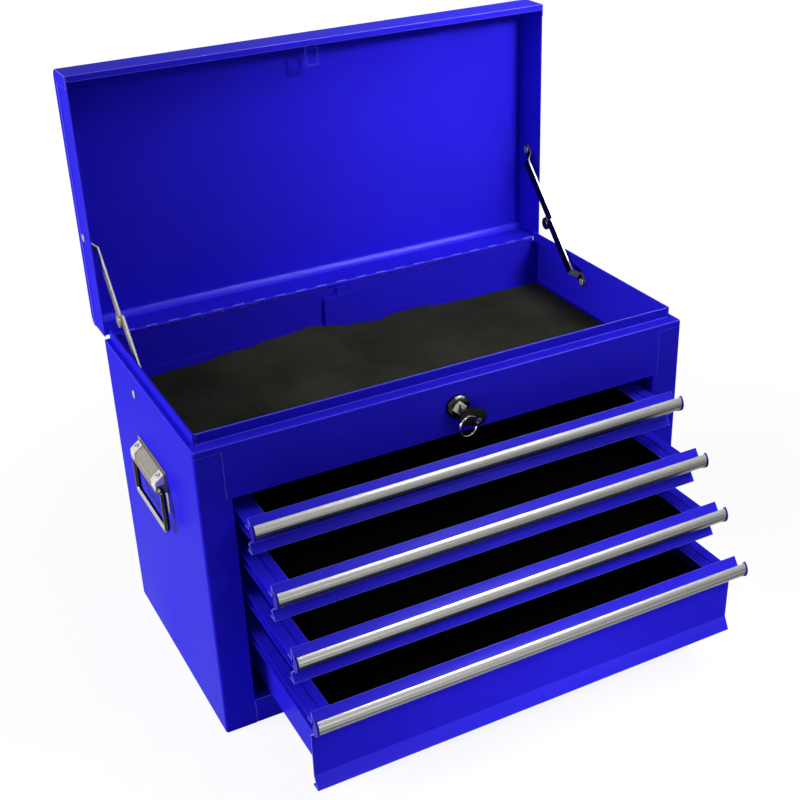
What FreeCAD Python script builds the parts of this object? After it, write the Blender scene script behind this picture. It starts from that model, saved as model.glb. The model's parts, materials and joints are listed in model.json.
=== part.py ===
"""A steel tool chest with a lift-up lid over a top tray and four drawers on slides.

X runs to the right, Y to the rear and Z up. The origin is the centre of the underside.
The chest is drawn as it stands open: lid up, and each drawer pulled out a little further than the last.
"""
import FreeCAD, Part
import Sketcher
import math
import os

SIZES = [
    ("case_width", 600, "outside width of the case and of the lid"),
    ("case_depth", 306, "outside depth of the case and of the lid"),
    ("case_height", 361, "height of the shoulder that the lid closes on"),
    ("sheet", 1, "thickness of the steel sheet"),
    ("corner_radius", 3, "outside radius of the upright corners"),
    ("shoulder_radius", 2, "outside radius where a wall turns into the shoulder"),
    ("stile_width", 36.3, "width of the front frame beside the drawers"),
    ("stile_top_width", 30, "width of the front frame beside the lock panel"),
    ("stile_return", 12, "depth of the turned-in edges round the drawer opening"),
    ("sill_height", 32, "height of the apron under the drawers"),
    ("opening_top", "=case_height - 63.5", "top of the drawer opening"),
    ("band_height", 8, "height of the seamless band under the front shoulder"),
    ("seam", 0.2, "open line between front frame and panels"),
    ("shoulder_front", 15, "width of the shoulder at the front"),
    ("shoulder_side", 7, "width of the shoulder at the sides"),
    ("rim_height", 12, "height of the rim that the lid drops over"),
    ("rim_thickness", 2, "thickness of the hemmed rim"),
    ("tray_flange", 14, "height of the tray floor with its turned-up edges"),
    ("tray_mat_thickness", 2.5, "thickness of the foam mat in the tray"),
    ("tray_mat_margin", 7, "space round the foam mat"),
    ("post_depth", 25, "width of a drawer post, front to rear"),
    ("post_front", "=23 - case_depth / 2", "front face of the front posts"),
    ("post_rear", "=case_depth / 2 - 53", "front face of the rear posts"),
    ("rail_front", "=13 - case_depth / 2", "front end of the rails in the case"),
    ("rail_rear", "=case_depth / 2 - 8", "rear end of the rails in the case"),
    ("rail_web", "=case_width / 2 - 34", "outside of the rails, from the middle of the case"),
    ("rail_inner", "=box_half_width + 2.3", "inner edge of the rails, from the middle of the case"),
    ("rail_clearance", 0.3, "play between rail and drawer slide, above and below"),
    ("hinge_rise", 3, "height of the lid hinge axis above the shoulder"),
    ("hinge_length", "=case_width - 40", "length of the lid hinge"),
    ("knuckle_count", 6, "number of hinge knuckles, both leaves together"),
    ("knuckle_radius", 2.4, "outside radius of the hinge knuckles"),
    ("hinge_pin_radius", 1.2, "radius of the hinge pin"),
    ("pin_clearance", 0.05, "radial play of the hinge pin"),
    ("knuckle_play", 0.2, "space between neighbouring knuckles"),
    ("leaf_height", 19, "height of a hinge leaf from the axis"),
    ("hinge_gap", 0.6, "space between knuckles and the sheet edges beside them"),
    ("lid_open", 90, "angle that the lid is open"),
    ("lid_height", 50, "height of the lid"),
    ("lid_gap", 0.6, "space between closed lid and shoulder"),
    ("lid_radius", 12, "outside radius of the front and rear bends of the lid"),
    ("lid_lip", 7, "depth of the turned-in front edge of the lid"),
    ("lid_hem", 12, "height of the lid's hem over the end plates"),
    ("lid_tab", 14, "width of the tabs that wrap the end plates at the front"),
    ("drawer_count", 4, "number of drawers"),
    ("drawer_top", "=opening_top - 3", "top edge of the first drawer"),
    ("drawer_pitch", "=front_height + 6.5", "distance from one drawer to the next"),
    ("front_height", 44, "height of a shallow drawer front"),
    ("deep_front_height", "=drawer_top - 3 * drawer_pitch - sill_height - 8",
     "height of the bottom drawer front"),
    ("front_half_width", "=case_width / 2 - stile_width - 1.5", "half the width of a drawer front"),
    ("front_sheet", 1, "thickness of the drawer sheet"),
    ("closed_recess", 3, "how far a closed drawer's top edge lies behind the front frame"),
    ("out_1", 40, "how far the first drawer is pulled out"),
    ("out_2", 90, "how far the second drawer is pulled out"),
    ("out_3", 130, "how far the third drawer is pulled out"),
    ("out_4", 170, "how far the fourth drawer is pulled out"),
    ("box_half_width", "=case_width / 2 - stile_width - 16.7", "half the outside width of a drawer box"),
    ("box_depth", "=case_depth - 21", "distance from a drawer's top front edge to its rear face"),
    ("box_front", 6.5, "distance from a drawer's top front edge to its box"),
    ("box_drop", 18, "how far the box sides lie below the front's top edge"),
    ("ledge_width", 13, "width of the ledge turned in at the top of a box side"),
    ("slide_height", 14, "height of the slide channel on a drawer"),
    ("slide_reach", 12.5, "how far the slide channel stands out from a drawer"),
    ("slide_margin", 2, "distance from a drawer's box front to its slide channels"),
    ("slide_length", "=box_depth - 23", "length of the slide channel"),
    ("liner_thickness", 1.5, "thickness of the drawer liners"),
    ("liner_gap", 0.5, "space between liner and drawer box"),
    ("liner_rear_gap", 5, "space between liner and rear wall of the drawer"),
    ("liner_side", 22, "height of the turned-up liner edges in the shallow drawers"),
    ("deep_liner_side", 59, "height of the turned-up liner edges in the bottom drawer"),
    ("nose_reach", 16.5, "how far the nose of a drawer front stands out from its top edge"),
    ("nose_drop", 15, "height of the top edge above the nose"),
    ("slope_reach", 9, "how far the steep part of the front's top slope stands out"),
    ("slope_drop", 11.5, "height of the steep part of the front's top slope"),
    ("waist_back", 4.5, "how far the front is drawn in under the nose"),
    ("waist_drop", 34.5, "height of the top edge above the drawn-in waist"),
    ("foot_reach", 2.5, "how far the foot of a drawer front stands out"),
    ("deep_waist_back", 5.3, "how far the foot of the deep front is drawn in"),
    ("deep_waist_rise", 15, "height of the drawn-in part above the foot of the deep front"),
    ("front_return", 3, "depth of the front's top flange over the drawer box"),
    ("front_flange_drop", 13.5, "height of the top edge above the flange inside the front"),
    ("trim_rise", 14.5, "height of a pull trim above the nose"),
    ("trim_stand", 2.4, "how far a pull trim stands out from the nose"),
    ("trim_wall", 1.4, "thickness of a pull trim"),
    ("trim_radius", 11.5, "radius of the round face of a pull trim"),
    ("trim_tail", 5, "width of the trim's leg under the nose"),
    ("trim_leg", 3, "width of the trim's leg over the nose"),
    ("cap_thickness", 2.4, "thickness of the end caps on the pull trims"),
    ("cap_tail", 3.5, "how far the lowest corner of an end cap lies behind the nose"),
    ("cap_margin", 0.8, "how far an end cap stands over the trim's section"),
    ("stay_foot_y", "=case_depth / 2 - 109", "place of the lower stay pivot, front to rear"),
    ("stay_foot_z", "=case_height - 22.5", "height of the lower stay pivot"),
    ("stay_head_y", "=case_depth / 2 + 25.6", "place of the upper stay pivot with the lid open"),
    ("stay_head_z", "=case_height + hinge_rise + 115", "height of the upper stay pivot with the lid open"),
    ("stay_share", 0.47, "share of the stay that is the lower link"),
    ("stay_offset", 10, "distance of the middle pivot from the line of the links"),
    ("stay_width", 12.6, "width of the stay links"),
    ("stay_plate", 2.2, "thickness of the stay links"),
    ("stay_inset", 13, "distance of the lower link from the case wall's inner face"),
    ("stay_play", 0.4, "space between the links and between lower link and wall"),
    ("stay_wall_play", 0.3, "space between the upper link and the lid's end plate"),
    ("stay_joggle_start", 9, "distance from a pivot to the start of the joggle"),
    ("stay_joggle_end", 17, "distance from a pivot to the end of the joggle"),
    ("stay_ear", 8, "radius of the ears at the middle pivot"),
    ("rivet_radius", 2.5, "radius of the stay rivets"),
    ("rivet_head", 4.6, "radius of the rivet heads"),
    ("rivet_head_height", 1.6, "height of the rivet heads on the outside"),
    ("rivet_play", 0.05, "radial play of a stay link on its rivet"),
    ("bracket_top", "=case_height - 78", "top of the handle brackets"),
    ("bracket_front", -45, "front end of the handle brackets"),
    ("bracket_length", 97, "length of a handle bracket"),
    ("bracket_height", 32, "height of the bracket plate"),
    ("bracket_plate", 1.5, "thickness of the bracket plate"),
    ("bracket_margin", 8, "length of the bracket plate behind its curl"),
    ("ear_length", 21, "length of the ears under the bracket plate"),
    ("ear_width", 7, "width of the ears under the bracket plate"),
    ("boss_length", 16, "length of the raised ends of a bracket"),
    ("boss_height", 3.2, "height of the raised ends at their screws"),
    ("boss_drop", 2, "distance of the raised ends from the bracket's top"),
    ("boss_rise", 0.8, "how far the raised ends stand over the curl"),
    ("boss_step", 1.5, "how far the raised ends lie behind the curl's outermost line"),
    ("bail_axis_out", 9, "distance of the bail's top bar from the case wall"),
    ("bail_axis_z", "=bracket_top - 20", "height of the bail's top bar"),
    ("bail_radius", 3.2, "radius of the handle wire"),
    ("bail_play", 0.05, "radial play of the bail in its bracket"),
    ("bail_front", "=bracket_front - 8", "place of the bail's front leg"),
    ("bail_length", "=bracket_length + 5", "distance between the legs of the bail"),
    ("bail_drop", 48, "distance from the bail's top bar to its grip"),
    ("bail_bend", 3.5, "reach of the mitred bends of the bail's wire"),
    ("curl_wall", 2, "thickness of the bracket round the bail"),
    ("screw_head_height", 1.8, "height of the handle screw heads"),
    ("screw_drop", 6.5, "distance of the handle screws from the bracket's top"),
    ("handle_screw_head", 3.6, "radius of the handle screw heads"),
    ("lock_height", "=case_height - 30", "height of the lock"),
    ("bezel_radius", 14, "radius of the lock's front ring"),
    ("bezel_depth", 5, "depth of the lock's front ring"),
    ("barrel_radius", 9.5, "radius of the lock barrel"),
    ("barrel_length", 22, "length of the lock barrel behind the panel face"),
    ("plug_radius", 7, "radius of the lock plug"),
    ("plug_play", 0.05, "radial play of the plug"),
    ("key_slot_width", 2.2, "width of the keyway"),
    ("key_slot_height", 9, "height of the keyway"),
    ("nut_radius", 13, "radius of the lock nut"),
    ("nut_depth", 4, "depth of the lock nut"),
    ("plug_face", 12.6, "side of the square face on the plug"),
    ("plug_face_height", 1.5, "height of the square face above the lock's front ring"),
    ("keyway_depth", 8, "depth of the keyway behind the lock's front ring"),
    ("cam_play", 0.5, "space between lock barrel and cam"),
    ("cam_bend_start", 14, "distance from the lock axis to the start of the cam's crank"),
    ("cam_bend_end", 22, "distance from the lock axis to the end of the cam's crank"),
    ("cam_plate", 2, "thickness of the lock cam"),
    ("cam_length", 51.2, "distance from the lock axis to the tip of the cam"),
    ("cam_width", 9, "width of the cam arm"),
    ("cam_crank", 13, "how far the cam is cranked to the rear"),
    ("cam_hook", 7, "depth of the cam's hooked tip"),
    ("striker_gap", 2.5, "space between rim and lid striker, lid closed"),
    ("striker_plate", 1.2, "thickness of the lid striker"),
    ("striker_width", 18, "width of the striker's window frame"),
    ("striker_length", 24, "length of the striker's window frame"),
    ("striker_member", 2.6, "width of the striker's window members"),
    ("striker_shift", -8, "middle of the striker, left of the middle of the case"),
    ("striker_rivet_share", 0.6, "place of the striker's rivet, as a share of its neck"),
    ("striker_neck", 10, "distance from the lid's front wall to the window frame"),
    ("key_gap", 5, "space between the plug face and the folded key head"),
    ("key_head_plate", 2.4, "thickness of the key head"),
    ("key_head_radius", 12, "radius of the rounded ends of the key head"),
    ("key_head_span", 13, "distance between the centres of the key head's rounded ends"),
    ("key_head_x", 13.6, "middle of the key head, right of the lock"),
    ("key_head_z", -12.6, "middle of the key head, above the lock"),
    ("key_head_turn", -15, "turn of the key head"),
    ("key_pin_radius", 0.8, "radius of the pin that the key head folds on"),
    ("key_pin_drop", 1, "how far the key's folding pin lies below the lock axis"),
    ("key_knuckle", 2, "radius of the knuckles round the key's folding pin"),
    ("key_blade_width", 4, "width of the key blade"),
    ("key_blade_thickness", 2, "thickness of the key blade"),
    ("key_fork_width", 8, "width of the key head's fork"),
    ("key_fork_gap", 2.6, "space between the prongs of the fork"),
    ("key_fork_length", 8, "length of the key head's fork below its pin"),
    ("key_eye_span", 4.4, "distance between the centres of the eye's rounded ends"),
    ("key_eye_radius", 1.7, "radius of the rounded ends of the key head's eye"),
    ("ring_radius", 11.9, "radius of the key ring"),
    ("ring_wire", 0.6, "half the thickness of the key ring's flat wire"),
    ("ring_x", 8.5, "middle of the key ring, right of the lock"),
    ("ring_z", -21.6, "middle of the key ring, above the lock"),
    ("ring_lean", 10, "angle at which the ring passes through the eye"),
    ("ring_tilt", 30, "angle between ring and key head"),
    ("bar_width", 12, "width of the drawer lock bar"),
    ("bar_plate", 2.4, "thickness of the drawer lock bar"),
    ("bar_shift", 4, "middle of the lock bar, right of the middle of the case"),
    ("bar_bottom", 14, "lower end of the lock bar, drawers unlocked"),
    ("bar_hook_drop", 12, "length of the lock bar's hooks"),
    ("bar_hook_clearance", 2, "height of the hooks above the drawer's rear wall, unlocked"),
    ("bar_hook_sheet", 1.5, "thickness of the lock bar's hooks"),
    ("bar_hook_gap", 1.5, "space between a hook and the inside of a drawer's rear wall"),
    ("bar_setback", 3.7, "distance of the lock bar's front face from the case's rear wall"),
    ("bar_play", 0.3, "space between the lock bar and its guides"),
    ("guide_flange", 8, "width of the flanges of the lock bar's lower guide"),
    ("guide_bottom", 50, "lower edge of the lock bar's lower guide"),
    ("guide_top", 70, "upper edge of the lock bar's lower guide"),
    ("channel_width", 48, "width of the cover over the lock bar"),
    ("channel_top", "=case_height - 11", "top of the cover over the lock bar"),
]


class Dim:
    """A size with its value and the expression that gives it in the spreadsheet."""

    def __init__(self, value, text):
        self.value = float(value)
        self.text = text

    def __float__(self):
        return self.value

    def __add__(self, other):
        other = dim(other)
        return Dim(self.value + other.value, "(" + self.text + " + " + other.text + ")")

    def __sub__(self, other):
        other = dim(other)
        return Dim(self.value - other.value, "(" + self.text + " - " + other.text + ")")

    def __mul__(self, other):
        other = dim(other)
        return Dim(self.value * other.value, "(" + self.text + " * " + other.text + ")")

    def __truediv__(self, other):
        other = dim(other)
        return Dim(self.value / other.value, "(" + self.text + " / " + other.text + ")")

    def __neg__(self):
        return Dim(-self.value, "(0 - " + self.text + ")")

    def __radd__(self, other):
        return dim(other) + self

    def __rsub__(self, other):
        return dim(other) - self

    def __rmul__(self, other):
        return dim(other) * self


def dim(value):
    """Give a plain number the form of a size."""
    if isinstance(value, Dim):
        return value
    return Dim(value, "(%.9g)" % value)


def root(size):
    """The square root of a size."""
    return Dim(math.sqrt(size.value), "sqrt(" + size.text + ")")


class Sizes:
    """The driving dimensions, each as a Dim that names its cell."""


doc = FreeCAD.newDocument("ToolChest")
sheet = doc.addObject("Spreadsheet::Sheet", "Sizes")
s = Sizes()
for row, (alias, value, note) in enumerate(SIZES, start=1):
    sheet.set("A%d" % row, note)
    sheet.setAlias("B%d" % row, alias)
for row, (alias, value, note) in enumerate(SIZES, start=1):
    sheet.set("B%d" % row, str(value))
doc.recompute()
for alias, value, note in SIZES:
    setattr(s, alias, Dim(sheet.get(alias), "Sizes." + alias))

pieces = []


# Outlines: points of two sizes, with a Bend between two points that an arc joins


class Bend:
    """An arc between two points, its centre to the left of the way round."""

    def __init__(self, radius):
        self.radius = dim(radius)


class Circle:
    """A full circle."""

    def __init__(self, u, v, radius):
        self.centre = (dim(u), dim(v))
        self.radius = dim(radius)


def rect(u0, v0, u1, v1):
    """A rectangle between two corners."""
    return [(u0, v0), (u1, v0), (u1, v1), (u0, v1)]


def mirrored(outline):
    """The outline turned over to the other side of the middle."""
    if isinstance(outline, Circle):
        return Circle(-outline.centre[0], outline.centre[1], outline.radius)
    points = [item if isinstance(item, Bend) else (-dim(item[0]), item[1]) for item in outline][::-1]
    return points[1:] + points[:1] if isinstance(points[0], Bend) else points


def strip(path, thickness):
    """The outline of a sheet whose one face follows a path of level and upright runs."""
    path = [(dim(u), dim(v)) for u, v in path]
    normals = []
    for (u0, v0), (u1, v1) in zip(path, path[1:]):
        along_u = float(u1) - float(u0)
        along_v = float(v1) - float(v0)
        normals.append((sign(along_v), -sign(along_u)))
    inner = []
    for place, (u, v) in enumerate(path):
        around = set(normals[max(place - 1, 0):place + 1])
        inner.append((u + thickness * sum(n[0] for n in around), v + thickness * sum(n[1] for n in around)))
    return path + inner[::-1]


def sign(value):
    """The sign of a run, or 0 where it is level."""
    return 0 if abs(value) < 1e-6 else math.copysign(1, value)


# Features


PLANES = {"X": ("YZ_Plane", 1), "Y": ("XZ_Plane", -1), "Z": ("XY_Plane", 1)}


def new_body(label):
    """A sub-part of its own, named as its file is."""
    body = doc.addObject("PartDesign::Body", label)
    body.Label = label
    body.AllowCompound = True
    pieces.append(body)
    return body


def place(body, x=0, y=0, z=0, tilt=None, axis=FreeCAD.Vector(1, 0, 0)):
    """Put a body at its place, and tilt it about an axis."""
    if tilt is not None:
        body.Placement = FreeCAD.Placement(FreeCAD.Vector(), FreeCAD.Rotation(axis, 1))
        body.setExpression("Placement.Rotation.Angle", tilt.text)
    for name, size in (("x", x), ("y", y), ("z", z)):
        body.setExpression("Placement.Base." + name, dim(size).text)


def arc_edge(start, end, bend):
    """The arc between two points, with the end of it that comes first."""
    u0, v0, u1, v1 = float(start[0]), float(start[1]), float(end[0]), float(end[1])
    radius = abs(float(bend.radius))
    turn = math.copysign(1, float(bend.radius))
    chord = math.hypot(u1 - u0, v1 - v0)
    height = turn * math.sqrt(max(radius ** 2 - chord ** 2 / 4, 0)) / chord
    cu = (u0 + u1) / 2 - (v1 - v0) * height
    cv = (v0 + v1) / 2 + (u1 - u0) * height
    first = math.atan2(v0 - cv, u0 - cu)
    last = math.atan2(v1 - cv, u1 - cu)
    if turn < 0:
        first, last = last, first
    circle = Part.Circle(FreeCAD.Vector(cu, cv, 0), FreeCAD.Vector(0, 0, 1), radius)
    return Part.ArcOfCircle(circle, first, last), (1, 2) if turn > 0 else (2, 1)


def fix_point(sketch, geometry, end, point):
    """Fix a point of a sketch at two sizes from the origin."""
    for kind, size in zip(("DistanceX", "DistanceY"), point):
        size = dim(size)
        index = sketch.addConstraint(Sketcher.Constraint(kind, -1, 1, geometry, end, size.value))
        sketch.setExpression("Constraints[%d]" % index, size.text)


def fix_radius(sketch, geometry, radius):
    """Fix the radius of an arc or a circle."""
    index = sketch.addConstraint(Sketcher.Constraint("Radius", geometry, abs(radius.value)))
    text = radius.text if radius.value > 0 else "(0 - " + radius.text + ")"
    sketch.setExpression("Constraints[%d]" % index, text)


def draw(sketch, outline):
    """Draw one closed outline, every point of it fixed by sizes."""
    if isinstance(outline, Circle):
        centre = FreeCAD.Vector(float(outline.centre[0]), float(outline.centre[1]), 0)
        circle = Part.Circle(centre, FreeCAD.Vector(0, 0, 1), outline.radius.value)
        geometry = sketch.addGeometry(circle, False)
        fix_point(sketch, geometry, 3, outline.centre)
        fix_radius(sketch, geometry, outline.radius)
        return
    corners = []
    bends = {}
    for item in outline:
        if isinstance(item, Bend):
            bends[len(corners) - 1] = item
        else:
            corners.append(item)
    edges = []
    for index, start in enumerate(corners):
        end = corners[(index + 1) % len(corners)]
        if index in bends:
            curve, ends = arc_edge(start, end, bends[index])
            geometry = sketch.addGeometry(curve, False)
            fix_radius(sketch, geometry, bends[index].radius)
        else:
            line = Part.LineSegment(FreeCAD.Vector(float(start[0]), float(start[1]), 0),
                                    FreeCAD.Vector(float(end[0]), float(end[1]), 0))
            geometry = sketch.addGeometry(line, False)
            ends = (1, 2)
        edges.append((geometry, ends))
    for index, start in enumerate(corners):
        before, now = edges[index - 1], edges[index]
        sketch.addConstraint(Sketcher.Constraint("Coincident", before[0], before[1][1], now[0], now[1][0]))
        fix_point(sketch, now[0], now[1][0], start)


def new_sketch(body, axis, outlines, level):
    """A sketch square to an axis, at a level along it."""
    role, facing = PLANES[axis]
    sketch = body.newObject("Sketcher::SketchObject", body.Label + "_outline")
    plane = [feature for feature in body.Origin.OriginFeatures if feature.Role == role][0]
    sketch.AttachmentSupport = (plane, [""])
    sketch.MapMode = "FlatFace"
    sketch.setExpression("AttachmentOffset.Base.z", (facing * dim(level)).text)
    for outline in outlines:
        draw(sketch, outline)
    return sketch


def add(body, axis, start, end, *outlines):
    """Add the prism of some outlines between two levels along an axis."""
    start, end = dim(start), dim(end)
    base = end if axis == "Y" else start
    sketch = new_sketch(body, axis, outlines, base)
    pad = body.newObject("PartDesign::Pad", body.Label + "_prism")
    pad.Profile = sketch
    pad.setExpression("Length", (end - start).text)
    return pad


def cut(body, axis, start, end, *outlines):
    """Cut the prism of some outlines between two levels along an axis."""
    start, end = dim(start), dim(end)
    base = start if axis == "Y" else end
    sketch = new_sketch(body, axis, outlines, base)
    pocket = body.newObject("PartDesign::Pocket", body.Label + "_cut")
    pocket.Profile = sketch
    pocket.setExpression("Length", (end - start).text)
    return pocket


def find_edges(body, test):
    """The names of the edges of a body that pass a test."""
    doc.recompute()
    shape = body.Tip.Shape
    return ["Edge%d" % number for number, edge in enumerate(shape.Edges, start=1) if test(edge)]


def at(value, size):
    """Whether a coordinate is at a size."""
    return abs(value - float(size)) < 0.01


def straight(edge, axis):
    """Whether an edge runs along an axis."""
    box = edge.BoundBox
    spans = {"X": box.XLength, "Y": box.YLength, "Z": box.ZLength}
    return all((length > 0.01) == (name == axis) for name, length in spans.items())


def fillet(body, radius, test):
    """Round the edges of a body that pass a test."""
    names = find_edges(body, test)
    feature = body.newObject("PartDesign::Fillet", body.Label + "_round")
    feature.Base = (feature.BaseFeature, names)
    feature.setExpression("Radius", dim(radius).text)
    return feature


def both(side, near, far):
    """The two levels of a span on the left (-1) or the right (1), in rising order."""
    near, far = dim(near), dim(far)
    return (near, far) if side > 0 else (-far, -near)


half_width = s.case_width / 2
half_depth = s.case_depth / 2
inner_x = half_width - s.sheet
inner_y = half_depth - s.sheet
opening_x = half_width - s.stile_width
header_x = half_width - s.stile_top_width
band_z = s.case_height - s.band_height
rim_y = s.shoulder_front - half_depth
rim_x = half_width - s.shoulder_side
tray_z = s.opening_top + s.sheet
hinge_z = s.case_height + s.hinge_rise


# The case


def case_wrapper():
    """The walls and front frame, one folded sheet with its side shoulders and rims."""
    body = new_body("case_wrapper")
    frame = [(-opening_x, -half_depth), (-half_width, -half_depth), (-half_width, half_depth),
             (half_width, half_depth), (half_width, -half_depth), (opening_x, -half_depth)]
    add(body, "Z", 0, s.opening_top, strip(frame, s.sheet))
    narrow = [(-header_x, -half_depth)] + frame[1:5] + [(header_x, -half_depth)]
    add(body, "Z", s.opening_top, band_z, strip(narrow, s.sheet))
    open_top = [(-half_width, rim_y), (-half_width, half_depth), (half_width, half_depth),
                (half_width, rim_y)]
    bend_z = s.case_height - s.shoulder_radius
    add(body, "Z", band_z, bend_z, strip(open_top, s.sheet))
    rear_y = half_depth - s.corner_radius
    rear = [(-half_width, rear_y)] + open_top[1:3] + [(half_width, rear_y)]
    add(body, "Z", bend_z, s.case_height, strip(rear, s.sheet))
    turned_in = rect(opening_x, -half_depth, opening_x + s.sheet, s.stile_return - half_depth)
    add(body, "Z", s.sheet, s.opening_top, turned_in, mirrored(turned_in))
    rim_inner = rim_x - s.rim_thickness
    shoulder = [(half_width, bend_z), Bend(s.shoulder_radius),
                (half_width - s.shoulder_radius, s.case_height), (rim_inner, s.case_height),
                (rim_inner, s.case_height - s.sheet),
                (half_width - s.shoulder_radius, s.case_height - s.sheet),
                Bend(s.sheet - s.shoulder_radius), (inner_x, bend_z)]
    add(body, "Y", rim_y, rear_y, shoulder, mirrored(shoulder))
    rim = rect(rim_inner, s.case_height, rim_x, s.case_height + s.rim_height)
    add(body, "Y", rim_y, inner_y, rim, mirrored(rim))
    ledge = rect(rim_inner, s.case_height - s.sheet, inner_x, s.case_height)
    add(body, "Y", rear_y, inner_y, ledge, mirrored(ledge))
    hole = Circle(s.stay_foot_y, s.stay_foot_z, s.rivet_radius)
    for side in (-1, 1):
        cut(body, "X", *both(side, inner_x - s.shoulder_side, half_width), hole)
    fillet(body, s.corner_radius, lambda edge: straight(edge, "Z")
           and at(abs(edge.CenterOfMass.x), half_width) and at(abs(edge.CenterOfMass.y), half_depth))


def header_panel():
    """The lock panel above the drawers, with the front shoulder and rim."""
    body = new_body("header_panel")
    face = [(s.stile_return - half_depth, s.opening_top), (-half_depth, s.opening_top),
            (-half_depth, s.case_height)]
    flat = header_x - s.seam
    add(body, "X", -opening_x + s.seam, opening_x - s.seam, strip(face, s.sheet))
    add(body, "X", -flat, flat, rect(-half_depth, s.opening_top, -inner_y, s.case_height))
    outer = s.corner_radius
    inner = outer - s.sheet
    side_y = outer - half_depth
    front_x = half_width - outer
    edge = [(-half_width, rim_y), (-half_width, side_y), Bend(outer), (-front_x, -half_depth),
            (front_x, -half_depth), Bend(outer), (half_width, side_y), (half_width, rim_y)]
    inside = [(inner_x, rim_y), (inner_x, side_y), Bend(-inner), (front_x, -inner_y), (-front_x, -inner_y),
              Bend(-inner), (-inner_x, side_y), (-inner_x, rim_y)]
    add(body, "Z", band_z, s.case_height, edge + inside)
    add(body, "Z", s.case_height - s.sheet, s.case_height, edge)
    ledge = rim_x - s.rim_thickness
    add(body, "Z", s.case_height - s.sheet, s.case_height,
        rect(-ledge, rim_y, ledge, rim_y + s.rim_thickness))
    add(body, "Z", s.case_height, s.case_height + s.rim_height,
        rect(-ledge, rim_y, ledge, rim_y + s.rim_thickness))
    cut(body, "Y", -half_depth - 1, -inner_y + 1, Circle(0, s.lock_height, s.barrel_radius))
    fillet(body, s.shoulder_radius, lambda edge: at(edge.CenterOfMass.z, s.case_height)
           and at(edge.BoundBox.ZLength, 0) and outside(edge.CenterOfMass))


def outside(point):
    """Whether a point lies on the outer edge of the front shoulder."""
    reach = s.corner_radius.value / 2
    return abs(point.x) > half_width.value - reach or point.y < reach - half_depth.value


def base_pan():
    """The bottom of the case with the apron under the drawers."""
    body = new_body("base_pan")
    add(body, "Z", 0, s.sheet, rect(-inner_x, -inner_y, inner_x, inner_y))
    apron = [(-half_depth, 0), (-half_depth, s.sill_height), (s.stile_return - half_depth, s.sill_height)]
    add(body, "X", -opening_x + s.seam, opening_x - s.seam, strip(apron, s.sheet))


def tray_floor():
    """The floor under the lid, a shallow pan between the walls."""
    body = new_body("tray_floor")
    add(body, "Z", tray_z, tray_z + s.tray_flange, rect(-inner_x, -inner_y, inner_x, inner_y))
    cut(body, "Z", tray_z + s.sheet, tray_z + s.tray_flange,
        rect(s.sheet - inner_x, s.sheet - inner_y, inner_x - s.sheet, inner_y - s.sheet))
    slot = s.bar_width / 2 + s.sheet
    cut(body, "Z", tray_z, tray_z + s.tray_flange,
        rect(s.bar_shift - slot, bar_y - 2 * s.bar_play, s.bar_shift + slot, inner_y))


def tray_mat():
    """The foam mat on the tray floor."""
    body = new_body("tray_mat")
    edge = inner_x - s.tray_mat_margin
    add(body, "Z", tray_z + s.sheet, tray_z + s.sheet + s.tray_mat_thickness,
        rect(-edge, s.sheet * 2 - inner_y, edge, inner_y - s.tray_mat_margin))


bar_y = inner_y - s.bar_setback


def lock_bar_channel():
    """The cover over the lock bar on the tray's rear wall, and the bar's lower guide."""
    body = new_body("lock_bar_channel")
    side = s.channel_width / 2
    front = bar_y - s.bar_play - s.sheet
    cover = [(s.bar_shift - side, inner_y - s.sheet), (s.bar_shift - side, front),
             (s.bar_shift + side, front), (s.bar_shift + side, inner_y - s.sheet)]
    add(body, "Z", tray_z + s.sheet, s.channel_top, strip(cover, -s.sheet))
    hole = s.bar_width / 2 + s.bar_play
    wing = hole + s.guide_flange
    guide = [(s.bar_shift - wing, inner_y), (s.bar_shift - wing, inner_y - s.sheet),
             (s.bar_shift - hole - s.sheet, inner_y - s.sheet), (s.bar_shift - hole - s.sheet, front),
             (s.bar_shift + hole + s.sheet, front), (s.bar_shift + hole + s.sheet, inner_y - s.sheet),
             (s.bar_shift + wing, inner_y - s.sheet), (s.bar_shift + wing, inner_y),
             (s.bar_shift + hole, inner_y), (s.bar_shift + hole, front + s.sheet),
             (s.bar_shift - hole, front + s.sheet), (s.bar_shift - hole, inner_y)]
    add(body, "Z", s.guide_bottom, s.guide_top, guide)


def posts_and_rails():
    """The posts inside the side walls and the rails that they carry."""
    posts = new_body("rail_uprights")
    outlines = []
    for front in (s.post_front, s.post_rear):
        channel = [(inner_x, front), (s.rail_web, front), (s.rail_web, front + s.post_depth),
                   (inner_x, front + s.post_depth)]
        post = strip(channel, s.sheet)
        outlines += [post, mirrored(post)]
    add(posts, "Z", s.sheet, tray_z, *outlines)
    for label, side in (("rails_left", -1), ("rails_right", 1)):
        body = new_body(label)
        outlines = []
        for number in range(int(s.drawer_count.value)):
            top = s.drawer_top - s.drawer_pitch * number - s.box_drop - s.rail_clearance
            bottom = top - s.slide_height + 2 * s.sheet + 2 * s.rail_clearance
            inner, outer = s.rail_inner, s.rail_web
            rail = strip([(inner, top), (outer, top), (outer, bottom), (inner, bottom)], s.sheet)
            outlines.append(rail if side > 0 else mirrored(rail))
        add(body, "Y", s.rail_front, s.rail_rear, *outlines)


# The lid and its hinge, drawn closed about the hinge axis and then opened


lid_bottom = s.lid_gap - s.hinge_rise
lid_top = lid_bottom + s.lid_height
lid_front = -s.case_depth


def open_lid_place(body):
    """Turn a piece that is drawn on the closed lid to where the open lid holds it."""
    place(body, y=half_depth, z=hinge_z, tilt=-s.lid_open)


def knuckle_slots(first, low, high):
    """The gaps that one hinge leaf leaves for the knuckles of the other."""
    count = int(s.knuckle_count.value)
    length = s.hinge_length / count
    slots = []
    for number in range(first, count, 2):
        start = length * number - s.hinge_length / 2
        slots.append(rect(start - s.knuckle_play / 2, low, start + length + s.knuckle_play / 2, high))
    return slots


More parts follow.
